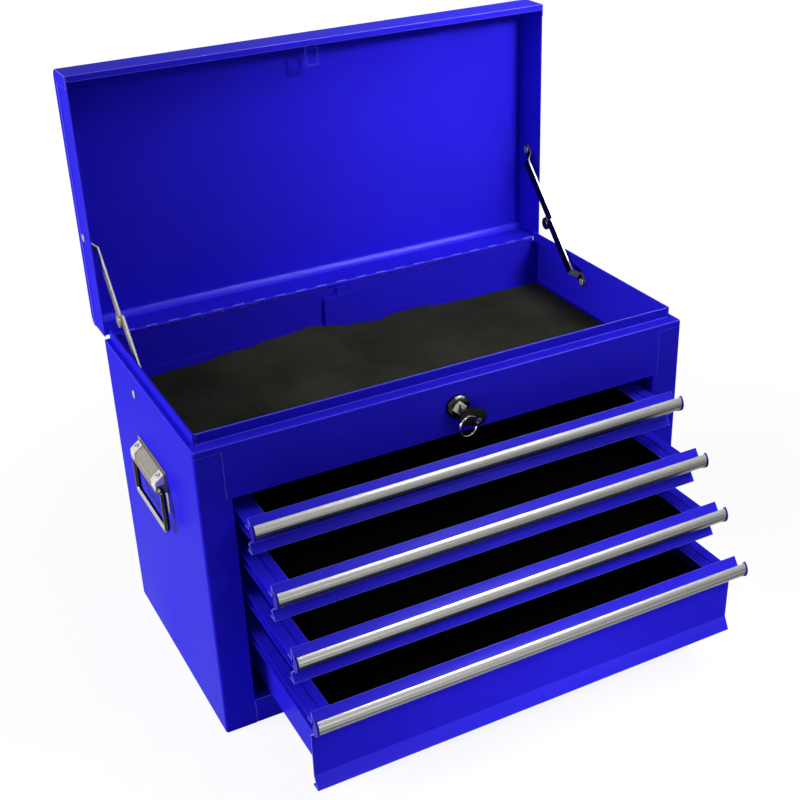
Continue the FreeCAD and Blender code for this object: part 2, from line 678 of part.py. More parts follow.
def hinge():
    """The long hinge: a leaf on the case, a leaf on the lid, and the pin between them."""
    reach = s.knuckle_radius + s.hinge_gap
    bore = s.hinge_pin_radius + s.pin_clearance
    case_leaf = new_body("hinge_case_leaf")
    lid_leaf = new_body("hinge_lid_leaf")
    span = s.hinge_length / 2
    for body, way, first in ((case_leaf, -1, 1), (lid_leaf, 1, 0)):
        leaf = rect(-2 * s.sheet, 0, -s.sheet, way * s.leaf_height)
        add(body, "X", -span, span, leaf)
        add(body, "X", -span, span, Circle(0, 0, s.knuckle_radius))
        cut(body, "X", -span, span, Circle(0, 0, bore))
        short = reach - s.knuckle_play
        low, high = (-short, reach) if way < 0 else (-reach, short)
        cut(body, "Y", -reach, reach, *knuckle_slots(first, low, high))
    place(case_leaf, y=half_depth, z=hinge_z)
    open_lid_place(lid_leaf)
    pin = new_body("hinge_pin")
    add(pin, "X", -span, span, Circle(0, 0, s.hinge_pin_radius))
    place(pin, y=half_depth, z=hinge_z)


def lid_panel():
    """The lid: top, front and rear in one sheet, hemmed over the end plates."""
    body = new_body("lid_panel")
    add(body, "X", -half_width, half_width, rect(lid_front, lid_bottom, 0, lid_top))
    cut(body, "X", -inner_x, inner_x, rect(lid_front + s.sheet, lid_bottom, -s.sheet, lid_top - s.sheet))
    fillet(body, s.lid_radius, lambda edge: straight(edge, "X") and at(edge.CenterOfMass.z, lid_top))
    fillet(body, s.lid_radius - s.sheet, lambda edge: straight(edge, "X")
           and at(edge.CenterOfMass.z, lid_top - s.sheet))
    below = lid_bottom - 1
    cut(body, "X", -half_width, half_width, rect(-2 * s.sheet, below, 1, s.knuckle_radius + s.hinge_gap))
    for side in (-1, 1):
        end = rect(lid_front + s.lid_tab, below, 1, lid_top - s.lid_hem)
        cut(body, "X", *both(side, inner_x, half_width + 1), end)
    lip_x = inner_x - s.sheet
    add(body, "X", -lip_x, lip_x, rect(lid_front, lid_bottom, lid_front + s.lid_lip, lid_bottom + s.sheet))
    open_lid_place(body)


def lid_end(label, side):
    """An end plate of the lid, inside the hem, with the hole for the stay's rivet."""
    body = new_body(label)
    top = lid_top - s.sheet
    front = lid_front + s.sheet
    bend = s.lid_radius - s.sheet
    plate = [(-s.sheet, lid_bottom), (-s.sheet, top - bend), Bend(bend), (-s.sheet - bend, top),
             (front + bend, top), Bend(bend), (front, top - bend), (front, lid_bottom)]
    add(body, "X", *both(side, inner_x - s.sheet, inner_x), plate)
    cut(body, "X", *both(side, inner_x - s.sheet - 1, inner_x + 1),
        Circle(lid_stay_y, lid_stay_z, s.rivet_radius))
    open_lid_place(body)


# With the lid fully open, its own depth direction points down and its height to the rear
lid_stay_y = hinge_z - s.stay_head_z
lid_stay_z = s.stay_head_y - half_depth


def lid_striker():
    """The window-frame striker inside the lid's front, that the lock cam hooks into."""
    body = new_body("lid_striker")
    level = s.rim_height + s.striker_gap - s.hinge_rise
    wall = lid_front + s.sheet
    near = wall + s.striker_neck
    half = s.striker_width / 2
    add(body, "Z", level, level + s.striker_plate,
        rect(s.striker_shift - half, near, s.striker_shift + half, near + s.striker_length))
    cut(body, "Z", level, level + s.striker_plate,
        rect(s.striker_shift - half + s.striker_member, near + s.striker_member,
             s.striker_shift + half - s.striker_member, near + s.striker_length - s.striker_member))
    add(body, "Z", level, level + s.striker_plate,
        rect(s.striker_shift - half / 2, wall, s.striker_shift + half / 2, near))
    add(body, "Y", wall, wall + s.striker_plate,
        rect(s.striker_shift - half / 2, level, s.striker_shift + half / 2, level + s.striker_neck))
    add(body, "Y", wall + s.striker_plate, wall + 2 * s.striker_plate,
        Circle(s.striker_shift, level + s.striker_neck * s.striker_rivet_share, s.rivet_radius))
    open_lid_place(body)


# The stays


stay_dy = s.stay_head_y - s.stay_foot_y
stay_dz = s.stay_head_z - s.stay_foot_z
stay_length = root(stay_dy * stay_dy + stay_dz * stay_dz)
stay_tilt = Dim(math.degrees(math.atan2(stay_dz.value, stay_dy.value)) - 90,
                "(atan2(" + stay_dz.text + "; " + stay_dy.text + ") - 90 deg)")


def stay_link(label, side, way, length, foot, outer, inner, rivet_side):
    """A stay link: a flat bar, joggled to its pivot, with an offset ear at the middle joint."""
    body = new_body(label)
    half = s.stay_width / 2
    plate = s.stay_plate
    start, end = s.stay_joggle_start * way, s.stay_joggle_end * way
    tip = (length - s.stay_play) * way
    ear = length * way
    add(body, "X", *both(side, outer, outer + plate), Circle(0, 0, half))
    add(body, "X", *both(side, outer, outer + plate), rect(-half, 0, half, start))
    joggle = [(outer, start), (outer + plate, start), (inner + plate, end), (inner, end)]
    add(body, "Y", -half, half, joggle if side > 0 else mirrored(joggle))
    add(body, "X", *both(side, inner, inner + plate), rect(-half, end, half, tip))
    add(body, "X", *both(side, inner, inner + plate), Circle(s.stay_offset, ear, s.stay_ear))
    add(body, "X", *both(side, inner, inner + plate), rect(0, tip - s.stay_ear * way, s.stay_offset, tip))
    head = s.rivet_head_height / 2
    low, high = (inner + plate, inner + plate + head) if rivet_side > 0 else (inner - head, inner)
    add(body, "X", *both(side, low, high), Circle(s.stay_offset, ear, s.rivet_head))
    cut(body, "X", *both(side, outer - 1, outer + plate + 1), Circle(0, 0, s.rivet_radius + s.rivet_play))
    place(body, y=foot[0], z=foot[1], tilt=stay_tilt)


def stays():
    """The folding stays that hold the lid, and the rivets at their ends."""
    lower_outer = inner_x - s.stay_play - s.stay_plate
    lower_inner = inner_x - s.stay_inset - s.sheet
    upper_outer = inner_x - s.sheet - s.stay_wall_play - s.stay_plate
    upper_inner = lower_inner + s.stay_plate + s.stay_play
    for name, side in (("left", -1), ("right", 1)):
        stay_link("stay_lower_" + name, side, 1, stay_length * s.stay_share, (s.stay_foot_y, s.stay_foot_z),
                  lower_outer, lower_inner, -1)
        stay_link("stay_upper_" + name, side, -1, stay_length * (1 - s.stay_share),
                  (s.stay_head_y, s.stay_head_z), upper_outer, upper_inner, 1)
    for label, face, wall, outer, y, z in (
            ("stay_rivets_case", half_width, s.sheet, lower_outer, s.stay_foot_y, s.stay_foot_z),
            ("stay_rivets_lid", inner_x, s.sheet, upper_outer, s.stay_head_y, s.stay_head_z)):
        body = new_body(label)
        for side in (-1, 1):
            add(body, "X", *both(side, outer - s.stay_play, face), Circle(y, z, s.rivet_radius))
            add(body, "X", *both(side, face, face + s.rivet_head_height), Circle(y, z, s.rivet_head))
            add(body, "X", *both(side, outer - s.stay_play - s.rivet_head_height / 2, outer - s.stay_play),
                Circle(y, z, s.rivet_head))


# The drawers


def front_outline(height):
    """The drawer front's section: top slope, nose, waist and face down to the foot."""
    back = s.box_front + s.front_return
    waist = [(s.waist_back, -s.waist_drop)]
    if height is s.deep_front_height:
        waist.append((s.deep_waist_back, s.deep_waist_rise - height))
    return [(0, 0), (-s.slope_reach, -s.slope_drop), (-s.nose_reach, -s.nose_drop)] + waist + [
        (-s.foot_reach, -height), (back, -height), (back, -s.front_flange_drop), (0, -s.front_flange_drop)]


def trim_outline():
    """The section of a pull trim: a round face with one leg over the nose and one under it."""
    nose_u, nose_v = -s.nose_reach, -s.nose_drop
    run, fall = s.waist_back + s.nose_reach, s.waist_drop - s.nose_drop
    length = root(run * run + fall * fall)
    under = (run / length, -fall / length)
    run, fall = s.nose_reach - s.slope_reach, s.nose_drop - s.slope_drop
    length = root(run * run + fall * fall)
    over = (run / length, fall / length)
    wall, tail, leg = s.trim_wall, s.trim_tail, s.trim_leg
    top_v = nose_v + s.trim_rise
    return [(nose_u, top_v), Bend(s.trim_radius), (nose_u - s.trim_stand, nose_v - wall / 2),
            (nose_u + under[0] * tail + under[1] * wall, nose_v + under[1] * tail - under[0] * wall),
            (nose_u + under[0] * tail, nose_v + under[1] * tail), (nose_u, nose_v),
            (nose_u + over[0] * leg, nose_v + over[1] * leg),
            (nose_u + over[0] * leg - over[1] * wall, nose_v + over[1] * leg + over[0] * wall),
            (nose_u - over[1] * wall, nose_v + over[0] * wall + wall / 2), Bend(wall - s.trim_radius),
            (nose_u + wall, top_v - wall)]


def cap_outline():
    """The section of the plastic cap that closes a trim's end."""
    nose_u, nose_v = -s.nose_reach, -s.nose_drop
    margin = s.cap_margin
    low_u, low_v = nose_u - s.trim_stand - margin, nose_v - s.trim_wall / 2 - margin
    return [(nose_u + s.trim_wall, nose_v + s.trim_rise + margin), Bend(s.trim_radius + margin),
            (low_u, low_v), (nose_u + s.cap_tail, nose_v - s.trim_tail - margin),
            (-s.slope_reach, nose_v), (-s.slope_reach, -s.slope_drop)]


def drawer(number, out, height, liner_side):
    """One drawer: box, front, pull trim, end caps, liner and slides."""
    label = "drawer_%d_" % number
    top = s.drawer_top - s.drawer_pitch * (number - 1)
    y = s.closed_recess - half_depth - out
    sheet_thickness = s.front_sheet
    floor = sheet_thickness - height
    side_x = s.box_half_width
    rear = s.box_depth

    front = new_body(label + "front")
    pad = add(front, "X", -s.front_half_width, s.front_half_width, front_outline(height))
    doc.recompute()
    names = []
    for index, face in enumerate(pad.Shape.Faces, start=1):
        normal = face.normalAt(0, 0)
        if abs(normal.x) > 0.9 or at(face.CenterOfMass.y, s.box_front + s.front_return):
            names.append("Face%d" % index)
    shell = front.newObject("PartDesign::Thickness", label + "front_shell")
    shell.Base = (pad, names)
    shell.Join = 1
    shell.Reversed = True
    shell.setExpression("Value", sheet_thickness.text)

    pan = new_body(label + "pan")
    add(pan, "Z", floor, -s.box_drop, rect(-side_x, s.box_front, side_x, rear))
    cut(pan, "Z", floor + sheet_thickness, -s.box_drop,
        rect(sheet_thickness - side_x, s.box_front + sheet_thickness, side_x - sheet_thickness,
             rear - sheet_thickness))
    ledge = rect(side_x - s.ledge_width, -s.box_drop - sheet_thickness, side_x, -s.box_drop)
    add(pan, "Y", s.box_front, rear, ledge, mirrored(ledge))
    add(pan, "Z", -s.box_drop, -s.front_flange_drop - sheet_thickness,
        rect(-side_x, s.box_front, side_x, s.box_front + sheet_thickness))

    trim = new_body(label + "trim")
    add(trim, "X", -s.front_half_width, s.front_half_width, trim_outline())

    caps = new_body(label + "caps")
    for side in (-1, 1):
        add(caps, "X", *both(side, s.front_half_width, s.front_half_width + s.cap_thickness), cap_outline())

    mat = new_body(label + "mat")
    low = floor + sheet_thickness
    edge = side_x - sheet_thickness - s.liner_gap
    fore = s.box_front + sheet_thickness + s.liner_gap
    aft = rear - sheet_thickness - s.liner_rear_gap
    add(mat, "Z", low, low + liner_side, rect(-edge, fore, edge, aft))
    thick = s.liner_thickness
    cut(mat, "Z", low + thick, low + liner_side, rect(thick - edge, fore + thick, edge - thick, aft - thick))

    slides = new_body(label + "slides")
    upper = sheet_thickness - s.box_drop
    lower = upper - s.slide_height
    reach = side_x + s.slide_reach
    channel = strip([(reach, upper), (side_x, upper), (side_x, lower), (reach, lower)], -sheet_thickness)
    slide_front = s.box_front + s.slide_margin
    add(slides, "Y", slide_front, slide_front + s.slide_length, channel, mirrored(channel))
    for body in (front, pan, trim, caps, mat, slides):
        place(body, y=y, z=top)


# The handles


def handle(name, side):
    """A handle: the bracket on the wall and the wire bail that turns in it."""
    wall = half_width
    axis_x = wall + s.bail_axis_out
    axis_z = s.bail_axis_z
    low, high = s.bracket_front, s.bracket_front + s.bracket_length
    curl_high = high - s.bracket_margin
    outer = s.bail_radius + s.bail_play + s.curl_wall
    foot = s.bracket_top - s.bracket_height
    plate = rect(wall, foot, wall + s.bracket_plate, s.bracket_top)
    ear = rect(wall, foot - s.ear_length, wall + s.bracket_plate, foot)
    block = rect(wall, axis_z - outer, axis_x, axis_z + outer)
    curl = Circle(axis_x, axis_z, outer)
    bore = Circle(axis_x, axis_z, s.bail_radius + s.bail_play)
    boss = [(wall, axis_z), (axis_x + outer - s.boss_step, axis_z),
            (axis_x + outer - s.boss_step, axis_z + outer + s.boss_rise),
            (wall + s.boss_height, axis_z + outer + s.boss_rise),
            (wall + s.boss_height, s.bracket_top - s.boss_drop), (wall, s.bracket_top - s.boss_drop)]
    shapes = [plate, ear, block, curl, bore, boss]
    if side < 0:
        shapes = [mirrored(shape) for shape in shapes]
    plate, ear, block, curl, bore, boss = shapes
    bracket = new_body("handle_bracket_" + name)
    add(bracket, "Y", low, high, plate)
    add(bracket, "Y", low, curl_high, block)
    add(bracket, "Y", low, curl_high, curl)
    for start, end in ((low, low + s.boss_length), (curl_high - s.boss_length, curl_high)):
        add(bracket, "Y", start, end, boss)
        centre = (start + end) / 2
        add(bracket, "X", *both(side, wall + s.boss_height, wall + s.boss_height + s.screw_head_height),
            Circle(centre, s.bracket_top - s.screw_drop, s.handle_screw_head))
    for start, end in ((low, low + s.ear_width), (high - s.ear_width, high)):
        add(bracket, "Y", start, end, ear)
    cut(bracket, "Y", low, curl_high, bore)

    bail = new_body("handle_bail_" + name)
    ring_x = side * axis_x
    bend = s.bail_bend
    front, rear = s.bail_front, s.bail_front + s.bail_length
    grip_z = axis_z - s.bail_drop
    path = new_sketch(bail, "X", [[(front + bend, axis_z), (rear - bend, axis_z), (rear, axis_z - bend),
                                   (rear, grip_z + bend), (rear - bend, grip_z), (front + bend, grip_z),
                                   (front, grip_z + bend), (front, axis_z - bend)]], ring_x)
    section = new_sketch(bail, "Y", [Circle(ring_x, axis_z, s.bail_radius)], (front + rear) / 2)
    pipe = bail.newObject("PartDesign::AdditivePipe", "bail_wire_" + name)
    pipe.Profile = section
    pipe.Spine = path
    pipe.Transition = "Right corner"


# The lock and its keys


lock_face = -half_depth - s.bezel_depth


def hexagon(x, z, radius):
    """A six-sided outline inside a circle, two of its sides level."""
    turns = [math.pi / 3 * number for number in range(6)]
    return [(x + radius * math.cos(turn), z + radius * math.sin(turn)) for turn in turns]


def lock():
    """The lock in the header: housing and nut, plug with its cam, folded key, ring and spare key."""
    barrel_end = -half_depth + s.barrel_length
    bore = s.plug_radius + s.plug_play
    centre = (0, s.lock_height)
    housing = new_body("lock_housing")
    add(housing, "Y", lock_face, -half_depth, Circle(*centre, s.bezel_radius))
    add(housing, "Y", -half_depth, barrel_end, Circle(*centre, s.barrel_radius))
    add(housing, "Y", -inner_y, -inner_y + s.nut_depth, hexagon(*centre, s.nut_radius))
    cut(housing, "Y", lock_face, barrel_end, Circle(*centre, bore))

    face = lock_face - s.plug_face_height
    plug = new_body("lock_plug")
    add(plug, "Y", lock_face, barrel_end + s.cam_play, Circle(*centre, s.plug_radius))
    half = s.plug_face * root(dim(2)) / 2
    square = [(0, s.lock_height - half), (half, s.lock_height), (0, s.lock_height + half),
              (-half, s.lock_height)]
    add(plug, "Y", face, lock_face, square)
    half_slot, half_rise = s.key_slot_width / 2, s.key_slot_height / 2
    cut(plug, "Y", face, lock_face + s.keyway_depth,
        rect(-half_slot, s.lock_height - half_rise, half_slot, s.lock_height + half_rise))

    cam = new_body("lock_cam")
    start = barrel_end + s.cam_play
    thick = s.cam_plate
    bend_start, bend_end = -s.cam_bend_start, -s.cam_bend_end
    low, high = s.lock_height - s.cam_width / 2, s.lock_height + s.cam_width / 2
    crank_y = start + s.cam_crank
    add(cam, "Y", start, start + thick, Circle(*centre, s.plug_radius))
    add(cam, "Y", start, start + thick, rect(bend_start, low, 0, high))
    add(cam, "Z", low, high, [(bend_start, start), (bend_start, start + thick), (bend_end, crank_y + thick),
                              (bend_end, crank_y)])
    add(cam, "Y", crank_y, crank_y + thick, rect(-s.cam_length, low, bend_end, high))
    add(cam, "Y", crank_y - s.cam_hook, crank_y, rect(-s.cam_length, low, thick - s.cam_length, high))

    pin_y = face - s.key_gap - s.key_head_plate / 2
    pin_z = s.lock_height - s.key_pin_drop
    half_blade, half_rise = s.key_blade_thickness / 2, s.key_blade_width / 2
    blade = new_body("key_blade")
    add(blade, "X", -half_blade, half_blade,
        rect(pin_y, pin_z - half_rise, lock_face + s.keyway_depth, pin_z + half_rise))
    add(blade, "X", -half_blade, half_blade, Circle(pin_y, pin_z, s.key_knuckle))
    cut(blade, "X", -half_blade, half_blade, Circle(pin_y, pin_z, s.key_pin_radius + s.pin_clearance))
    key_head(pin_y, pin_z)


def stadium(x, z, span, radius, turn):
    """A slot-shaped outline about a centre, its length turned from the X axis."""
    angle = math.radians(turn)
    along = (math.cos(angle), math.sin(angle))
    half = span / 2

    def point(reach, aside):
        return (x + along[0] * reach - along[1] * aside, z + along[1] * reach + along[0] * aside)

    quarter = Bend(radius)
    return [point(half, -radius), quarter, point(half + radius, dim(0)), quarter, point(half, radius),
            point(-half, radius), quarter, point(-half - radius, dim(0)), quarter, point(-half, -radius)]


def key_head(pin_y, pin_z):
    """The key head, folded down on its pin, and the split ring through its eye."""
    head = new_body("key_head")
    rear = pin_y + s.key_head_plate / 2
    front = pin_y - s.key_head_plate / 2
    cx = s.key_head_x
    cz = s.lock_height + s.key_head_z
    add(head, "Y", front, rear, stadium(cx, cz, s.key_head_span, s.key_head_radius, s.key_head_turn.value))
    fork = s.key_fork_width / 2
    slot = s.key_fork_gap / 2
    room = s.key_knuckle + 1
    add(head, "X", -fork, fork, Circle(pin_y, pin_z, s.key_knuckle))
    add(head, "Y", front, rear, rect(-fork, pin_z - s.key_fork_length, fork, pin_z))
    cut(head, "X", -slot, slot, rect(pin_y - room, pin_z - room, pin_y + room, pin_z + room))
    add(head, "X", -fork, fork, Circle(pin_y, pin_z, s.key_pin_radius))
    eye_x = s.ring_x + s.ring_radius * math.cos(math.radians(s.ring_lean.value))
    eye_z = s.lock_height + s.ring_z + s.ring_radius * math.sin(math.radians(s.ring_lean.value))
    cut(head, "Y", front, rear, stadium(eye_x, eye_z, s.key_eye_span, s.key_eye_radius, 90))

    ring = new_body("key_ring")
    inner, outer = s.ring_radius - s.ring_wire, s.ring_radius + s.ring_wire
    wire = new_sketch(ring, "Z", [rect(inner, -s.ring_wire, outer, s.ring_wire)], 0)
    turned = ring.newObject("PartDesign::Revolution", "key_ring_turned")
    turned.Profile = wire
    turned.ReferenceAxis = (wire, ["V_Axis"])
    turned.Angle = 360
    lean = math.radians(s.ring_lean.value)
    place(ring, x=s.ring_x, y=pin_y, z=s.lock_height + s.ring_z, tilt=-s.ring_tilt,
          axis=FreeCAD.Vector(math.cos(lean), 0, math.sin(lean)))


def lock_bar():
    """The bar that locks the drawers when the lid is closed, with a hook for each drawer."""
    body = new_body("lock_bar")
    low, high = s.bar_shift - s.bar_width / 2, s.bar_shift + s.bar_width / 2
    add(body, "Y", bar_y, bar_y + s.bar_plate, rect(low, s.bar_bottom, high, s.case_height - 1))
    rear_inner = s.closed_recess - half_depth + s.box_depth - s.front_sheet
    tip = rear_inner - s.bar_hook_gap - s.bar_hook_sheet
    for number in range(int(s.drawer_count.value)):
        end = s.drawer_top - s.drawer_pitch * number - s.box_drop + s.bar_hook_clearance
        top = end + s.bar_hook_drop
        hook = strip([(bar_y, top), (tip, top), (tip, end)], -s.bar_hook_sheet)
        add(body, "X", low, high, hook)


case_wrapper()
header_panel()
base_pan()
tray_floor()
tray_mat()
lock_bar_channel()
posts_and_rails()
hinge()
lid_panel()
lid_end("lid_end_left", -1)
lid_end("lid_end_right", 1)
lid_striker()
stays()
for number, out in enumerate((s.out_1, s.out_2, s.out_3), start=1):
    drawer(number, out, s.front_height, s.liner_side)
drawer(4, s.out_4, s.deep_front_height, s.deep_liner_side)
handle("left", -1)
handle("right", 1)
lock()
lock_bar()

doc.recompute()
smallest_cut = 0.01
failed = [item.Name for item in doc.Objects if {"Invalid", "Error"} & set(item.State)]
if failed:
    raise RuntimeError("these features failed: " + ", ".join(failed))
for item in doc.Objects:
    if item.TypeId != "PartDesign::Pocket":
        continue
    taken = item.BaseFeature.Shape.Volume - item.Shape.Volume
    if taken < smallest_cut:
        raise RuntimeError("this cut takes nothing away: " + item.Name)
for piece in pieces:
    if piece.Shape.isNull() or not piece.Shape.isValid():
        raise RuntimeError("the shape of " + piece.Label + " is not valid")
os.makedirs("parts", exist_ok=True)
for piece in pieces:
    piece.Shape.exportStep("parts/" + piece.Label + ".step")
    box = piece.Shape.BoundBox
    print("%-22s %d solid(s) %9.0f mm3  X %.1f %.1f  Y %.1f %.1f  Z %.1f %.1f" % (
        piece.Label, len(piece.Shape.Solids), piece.Shape.Volume, box.XMin, box.XMax, box.YMin, box.YMax,
        box.ZMin, box.ZMax))
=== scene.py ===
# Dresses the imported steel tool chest: paint, trims, foam mats, lock and handles.
import json
import math
import random

import bpy
from mathutils import Matrix, Vector

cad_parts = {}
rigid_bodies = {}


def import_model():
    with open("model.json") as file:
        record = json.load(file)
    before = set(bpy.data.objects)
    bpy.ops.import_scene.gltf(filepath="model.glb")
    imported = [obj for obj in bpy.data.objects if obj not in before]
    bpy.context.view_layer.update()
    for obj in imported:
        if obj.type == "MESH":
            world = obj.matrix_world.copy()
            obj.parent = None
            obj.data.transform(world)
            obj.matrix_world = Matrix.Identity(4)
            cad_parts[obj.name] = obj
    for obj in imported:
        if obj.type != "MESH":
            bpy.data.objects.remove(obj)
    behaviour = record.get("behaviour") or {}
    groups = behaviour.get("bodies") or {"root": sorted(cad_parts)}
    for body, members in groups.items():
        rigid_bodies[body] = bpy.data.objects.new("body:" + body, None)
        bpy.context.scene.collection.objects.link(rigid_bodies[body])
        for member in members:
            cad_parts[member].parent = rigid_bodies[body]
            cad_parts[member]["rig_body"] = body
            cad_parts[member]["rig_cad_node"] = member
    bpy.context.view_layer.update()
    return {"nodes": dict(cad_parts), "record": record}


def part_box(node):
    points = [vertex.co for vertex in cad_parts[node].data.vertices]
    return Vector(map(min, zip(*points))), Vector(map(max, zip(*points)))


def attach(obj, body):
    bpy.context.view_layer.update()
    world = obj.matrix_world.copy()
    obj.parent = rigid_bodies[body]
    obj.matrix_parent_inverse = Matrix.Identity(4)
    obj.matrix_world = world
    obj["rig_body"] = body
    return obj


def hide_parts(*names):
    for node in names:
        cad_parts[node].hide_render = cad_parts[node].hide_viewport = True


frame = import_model()
nodes = frame["nodes"]
mm = 0.001
print("frame loaded:", len(nodes), "nodes")

scene = bpy.context.scene
scene.view_settings.view_transform = "Standard"


# Small helpers

def clearSelection():
    if bpy.context.object and bpy.context.object.mode != "OBJECT":
        bpy.ops.object.mode_set(mode="OBJECT")
    bpy.ops.object.select_all(action="DESELECT")


def makeActive(piece):
    clearSelection()
    piece.select_set(True)
    bpy.context.view_layer.objects.active = piece
    return piece


def applyModifiers(piece):
    makeActive(piece)
    for modifier in list(piece.modifiers):
        bpy.ops.object.modifier_apply(modifier=modifier.name)
    return piece


def settle(piece):
    makeActive(piece)
    bpy.ops.object.transform_apply(location=True, rotation=True, scale=True)
    return piece


def finishPiece(piece, body, material, replaced, smoothAngle=35):
    makeActive(piece)
    bpy.ops.object.shade_smooth_by_angle(angle=math.radians(smoothAngle))
    flat = piece.modifiers.new("flatFaces", "WEIGHTED_NORMAL")
    flat.keep_sharp = True
    applyModifiers(piece)
    if material:
        paintWith(piece, material)
    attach(piece, body)
    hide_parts(*replaced)
    return piece


def editAll(piece):
    makeActive(piece)
    bpy.ops.object.mode_set(mode="EDIT")
    bpy.ops.mesh.select_mode(type="FACE")
    bpy.ops.mesh.select_all(action="SELECT")


def leaveEdit():
    bpy.ops.object.mode_set(mode="OBJECT")


def selectFaces(piece, wanted):
    makeActive(piece)
    bpy.ops.object.mode_set(mode="EDIT")
    bpy.ops.mesh.select_mode(type="FACE")
    bpy.ops.mesh.select_all(action="DESELECT")
    leaveEdit()
    for face in piece.data.polygons:
        face.select = bool(wanted(face))
    bpy.ops.object.mode_set(mode="EDIT")


def selectEdges(piece, wanted):
    makeActive(piece)
    bpy.ops.object.mode_set(mode="EDIT")
    bpy.ops.mesh.select_mode(type="EDGE")
    bpy.ops.mesh.select_all(action="DESELECT")
    leaveEdit()
    points = piece.data.vertices
    for edge in piece.data.edges:
        first, second = (points[index].co for index in edge.vertices)
        edge.select = bool(wanted(first, second))
    bpy.ops.object.mode_set(mode="EDIT")


cleanUp = dict(distance=0.02, angle=1)  # merges doubled points and dissolves seams in flat faces


def copyOf(name, ending):
    clearSelection()
    source = nodes[name]
    piece = source.copy()
    piece.data = source.data.copy()
    piece.name = name + ending
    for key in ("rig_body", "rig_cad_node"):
        del piece[key]
    piece.parent = None
    scene.collection.objects.link(piece)
    editAll(piece)
    bpy.ops.mesh.remove_doubles(threshold=cleanUp["distance"] * mm)
    bpy.ops.mesh.dissolve_limited(angle_limit=math.radians(cleanUp["angle"]))
    leaveEdit()
    return piece


def paintWith(piece, *materials):
    piece.data.materials.clear()
    for material in materials:
        piece.data.materials.append(material)
    return piece


def paintFaces(piece, material, wanted):
    piece.data.materials.append(material)
    index = len(piece.data.materials) - 1
    for face in piece.data.polygons:
        if wanted(face):
            face.material_index = index


def joinPieces(pieces, name):
    clearSelection()
    for piece in pieces:
        piece.select_set(True)
    bpy.context.view_layer.objects.active = pieces[0]
    bpy.ops.object.join()
    pieces[0].name = name
    return pieces[0]


def block(low, high, name="block"):
    low, high = Vector(low) * mm, Vector(high) * mm
    bpy.ops.mesh.primitive_cube_add(size=1, location=(low + high) / 2)
    piece = bpy.context.object
    piece.scale = high - low
    piece.name = name
    return settle(piece)


def rounded(piece, width, segments, angle=35, material=-1):
    bevel = piece.modifiers.new("edges", "BEVEL")
    bevel.material = material
    bevel.width = width * mm
    bevel.segments = segments
    bevel.limit_method = "ANGLE"
    bevel.angle_limit = math.radians(angle)
    return applyModifiers(piece)


def thicken(piece, thickness):
    wall = piece.modifiers.new("foam", "SOLIDIFY")
    wall.thickness = thickness * mm
    wall.offset = -1
    return applyModifiers(piece)


# Materials

def newMaterial(name):
    material = bpy.data.materials.new(name)
    material.use_nodes = True
    tree = material.node_tree
    return material, tree, tree.nodes["Principled BSDF"]


def addNode(tree, kind, **values):
    node = tree.nodes.new(kind)
    for key, value in values.items():
        if hasattr(node, key):
            setattr(node, key, value)
        else:
            node.inputs[key].default_value = value
    return node


def noiseOf(tree, scale, detail=3.0, roughness=0.5, stretch=(1, 1, 1)):
    place = tree.nodes.new("ShaderNodeTexCoord")
    mapping = tree.nodes.new("ShaderNodeMapping")
    mapping.inputs["Scale"].default_value = stretch
    noise = tree.nodes.new("ShaderNodeTexNoise")
    noise.inputs["Scale"].default_value = scale
    noise.inputs["Detail"].default_value = detail
    noise.inputs["Roughness"].default_value = roughness
    tree.links.new(place.outputs["Object"], mapping.inputs["Vector"])
    tree.links.new(mapping.outputs["Vector"], noise.inputs["Vector"])
    return noise.outputs["Fac"]


def rampTo(tree, target, source, places, colours):
    ramp = tree.nodes.new("ShaderNodeValToRGB")
    for element, place, colour in zip(ramp.color_ramp.elements, places, colours):
        element.position, element.color = place, colour
    tree.links.new(source, ramp.inputs["Fac"])
    tree.links.new(ramp.outputs["Color"], target)


def bumpOf(tree, shader, height, strength, distance):
    bump = addNode(tree, "ShaderNodeBump", Strength=strength, Distance=distance)
    tree.links.new(height, bump.inputs["Height"])
    tree.links.new(bump.outputs["Normal"], shader.inputs["Normal"])


def grey(value):
    return (value, value, value, 1)


def darker(colour, share):
    return tuple(part * share for part in colour[:3]) + (1,)


def tintAndGloss(tree, shader, source, tints, roughness, looks):
    rampTo(tree, shader.inputs["Base Color"], source, looks["tintAt"], tints)
    rampTo(tree, shader.inputs["Roughness"], source, looks["glossAt"], [grey(value) for value in roughness])


# tintAt and glossAt say where on the noise the ramps of colour and roughness start and end
paintLooks = dict(cloud=9, cloudDetail=4, tintAt=(0.3, 0.7), glossAt=(0.3, 0.75), peel=700, peelDetail=2,
                  peelRoughness=0.6, bump=0.5)
paints = dict(
    flat=dict(colour=(0.0240, 0.0155, 0.76, 1), shade=(0.0215, 0.0140, 0.70, 1), roughness=(0.30, 0.38),
              level=0.004, peelDepth=0.00004),
    # bend: a lighter blue, a painted highlight on upward-facing slopes, over a glossier coat
    bend=dict(colour=(0.034, 0.023, 0.95, 1), shade=(0.030, 0.020, 0.90, 1), roughness=(0.27, 0.30),
              level=0.07, peelDepth=0.00002),
    # fold: a lighter blue still, a painted highlight on the lid's folds, over a glossier coat
    fold=dict(colour=(0.050, 0.038, 0.98, 1), shade=(0.045, 0.034, 0.94, 1), roughness=(0.27, 0.30),
              level=0.22, peelDepth=0.00002),
    # edge: the lightest blue, a painted highlight on rounded edges
    edge=dict(colour=(0.21, 0.19, 1.0, 1), shade=(0.16, 0.145, 0.95, 1), roughness=(0.25, 0.32),
              level=0.3, peelDepth=0.00001),
)


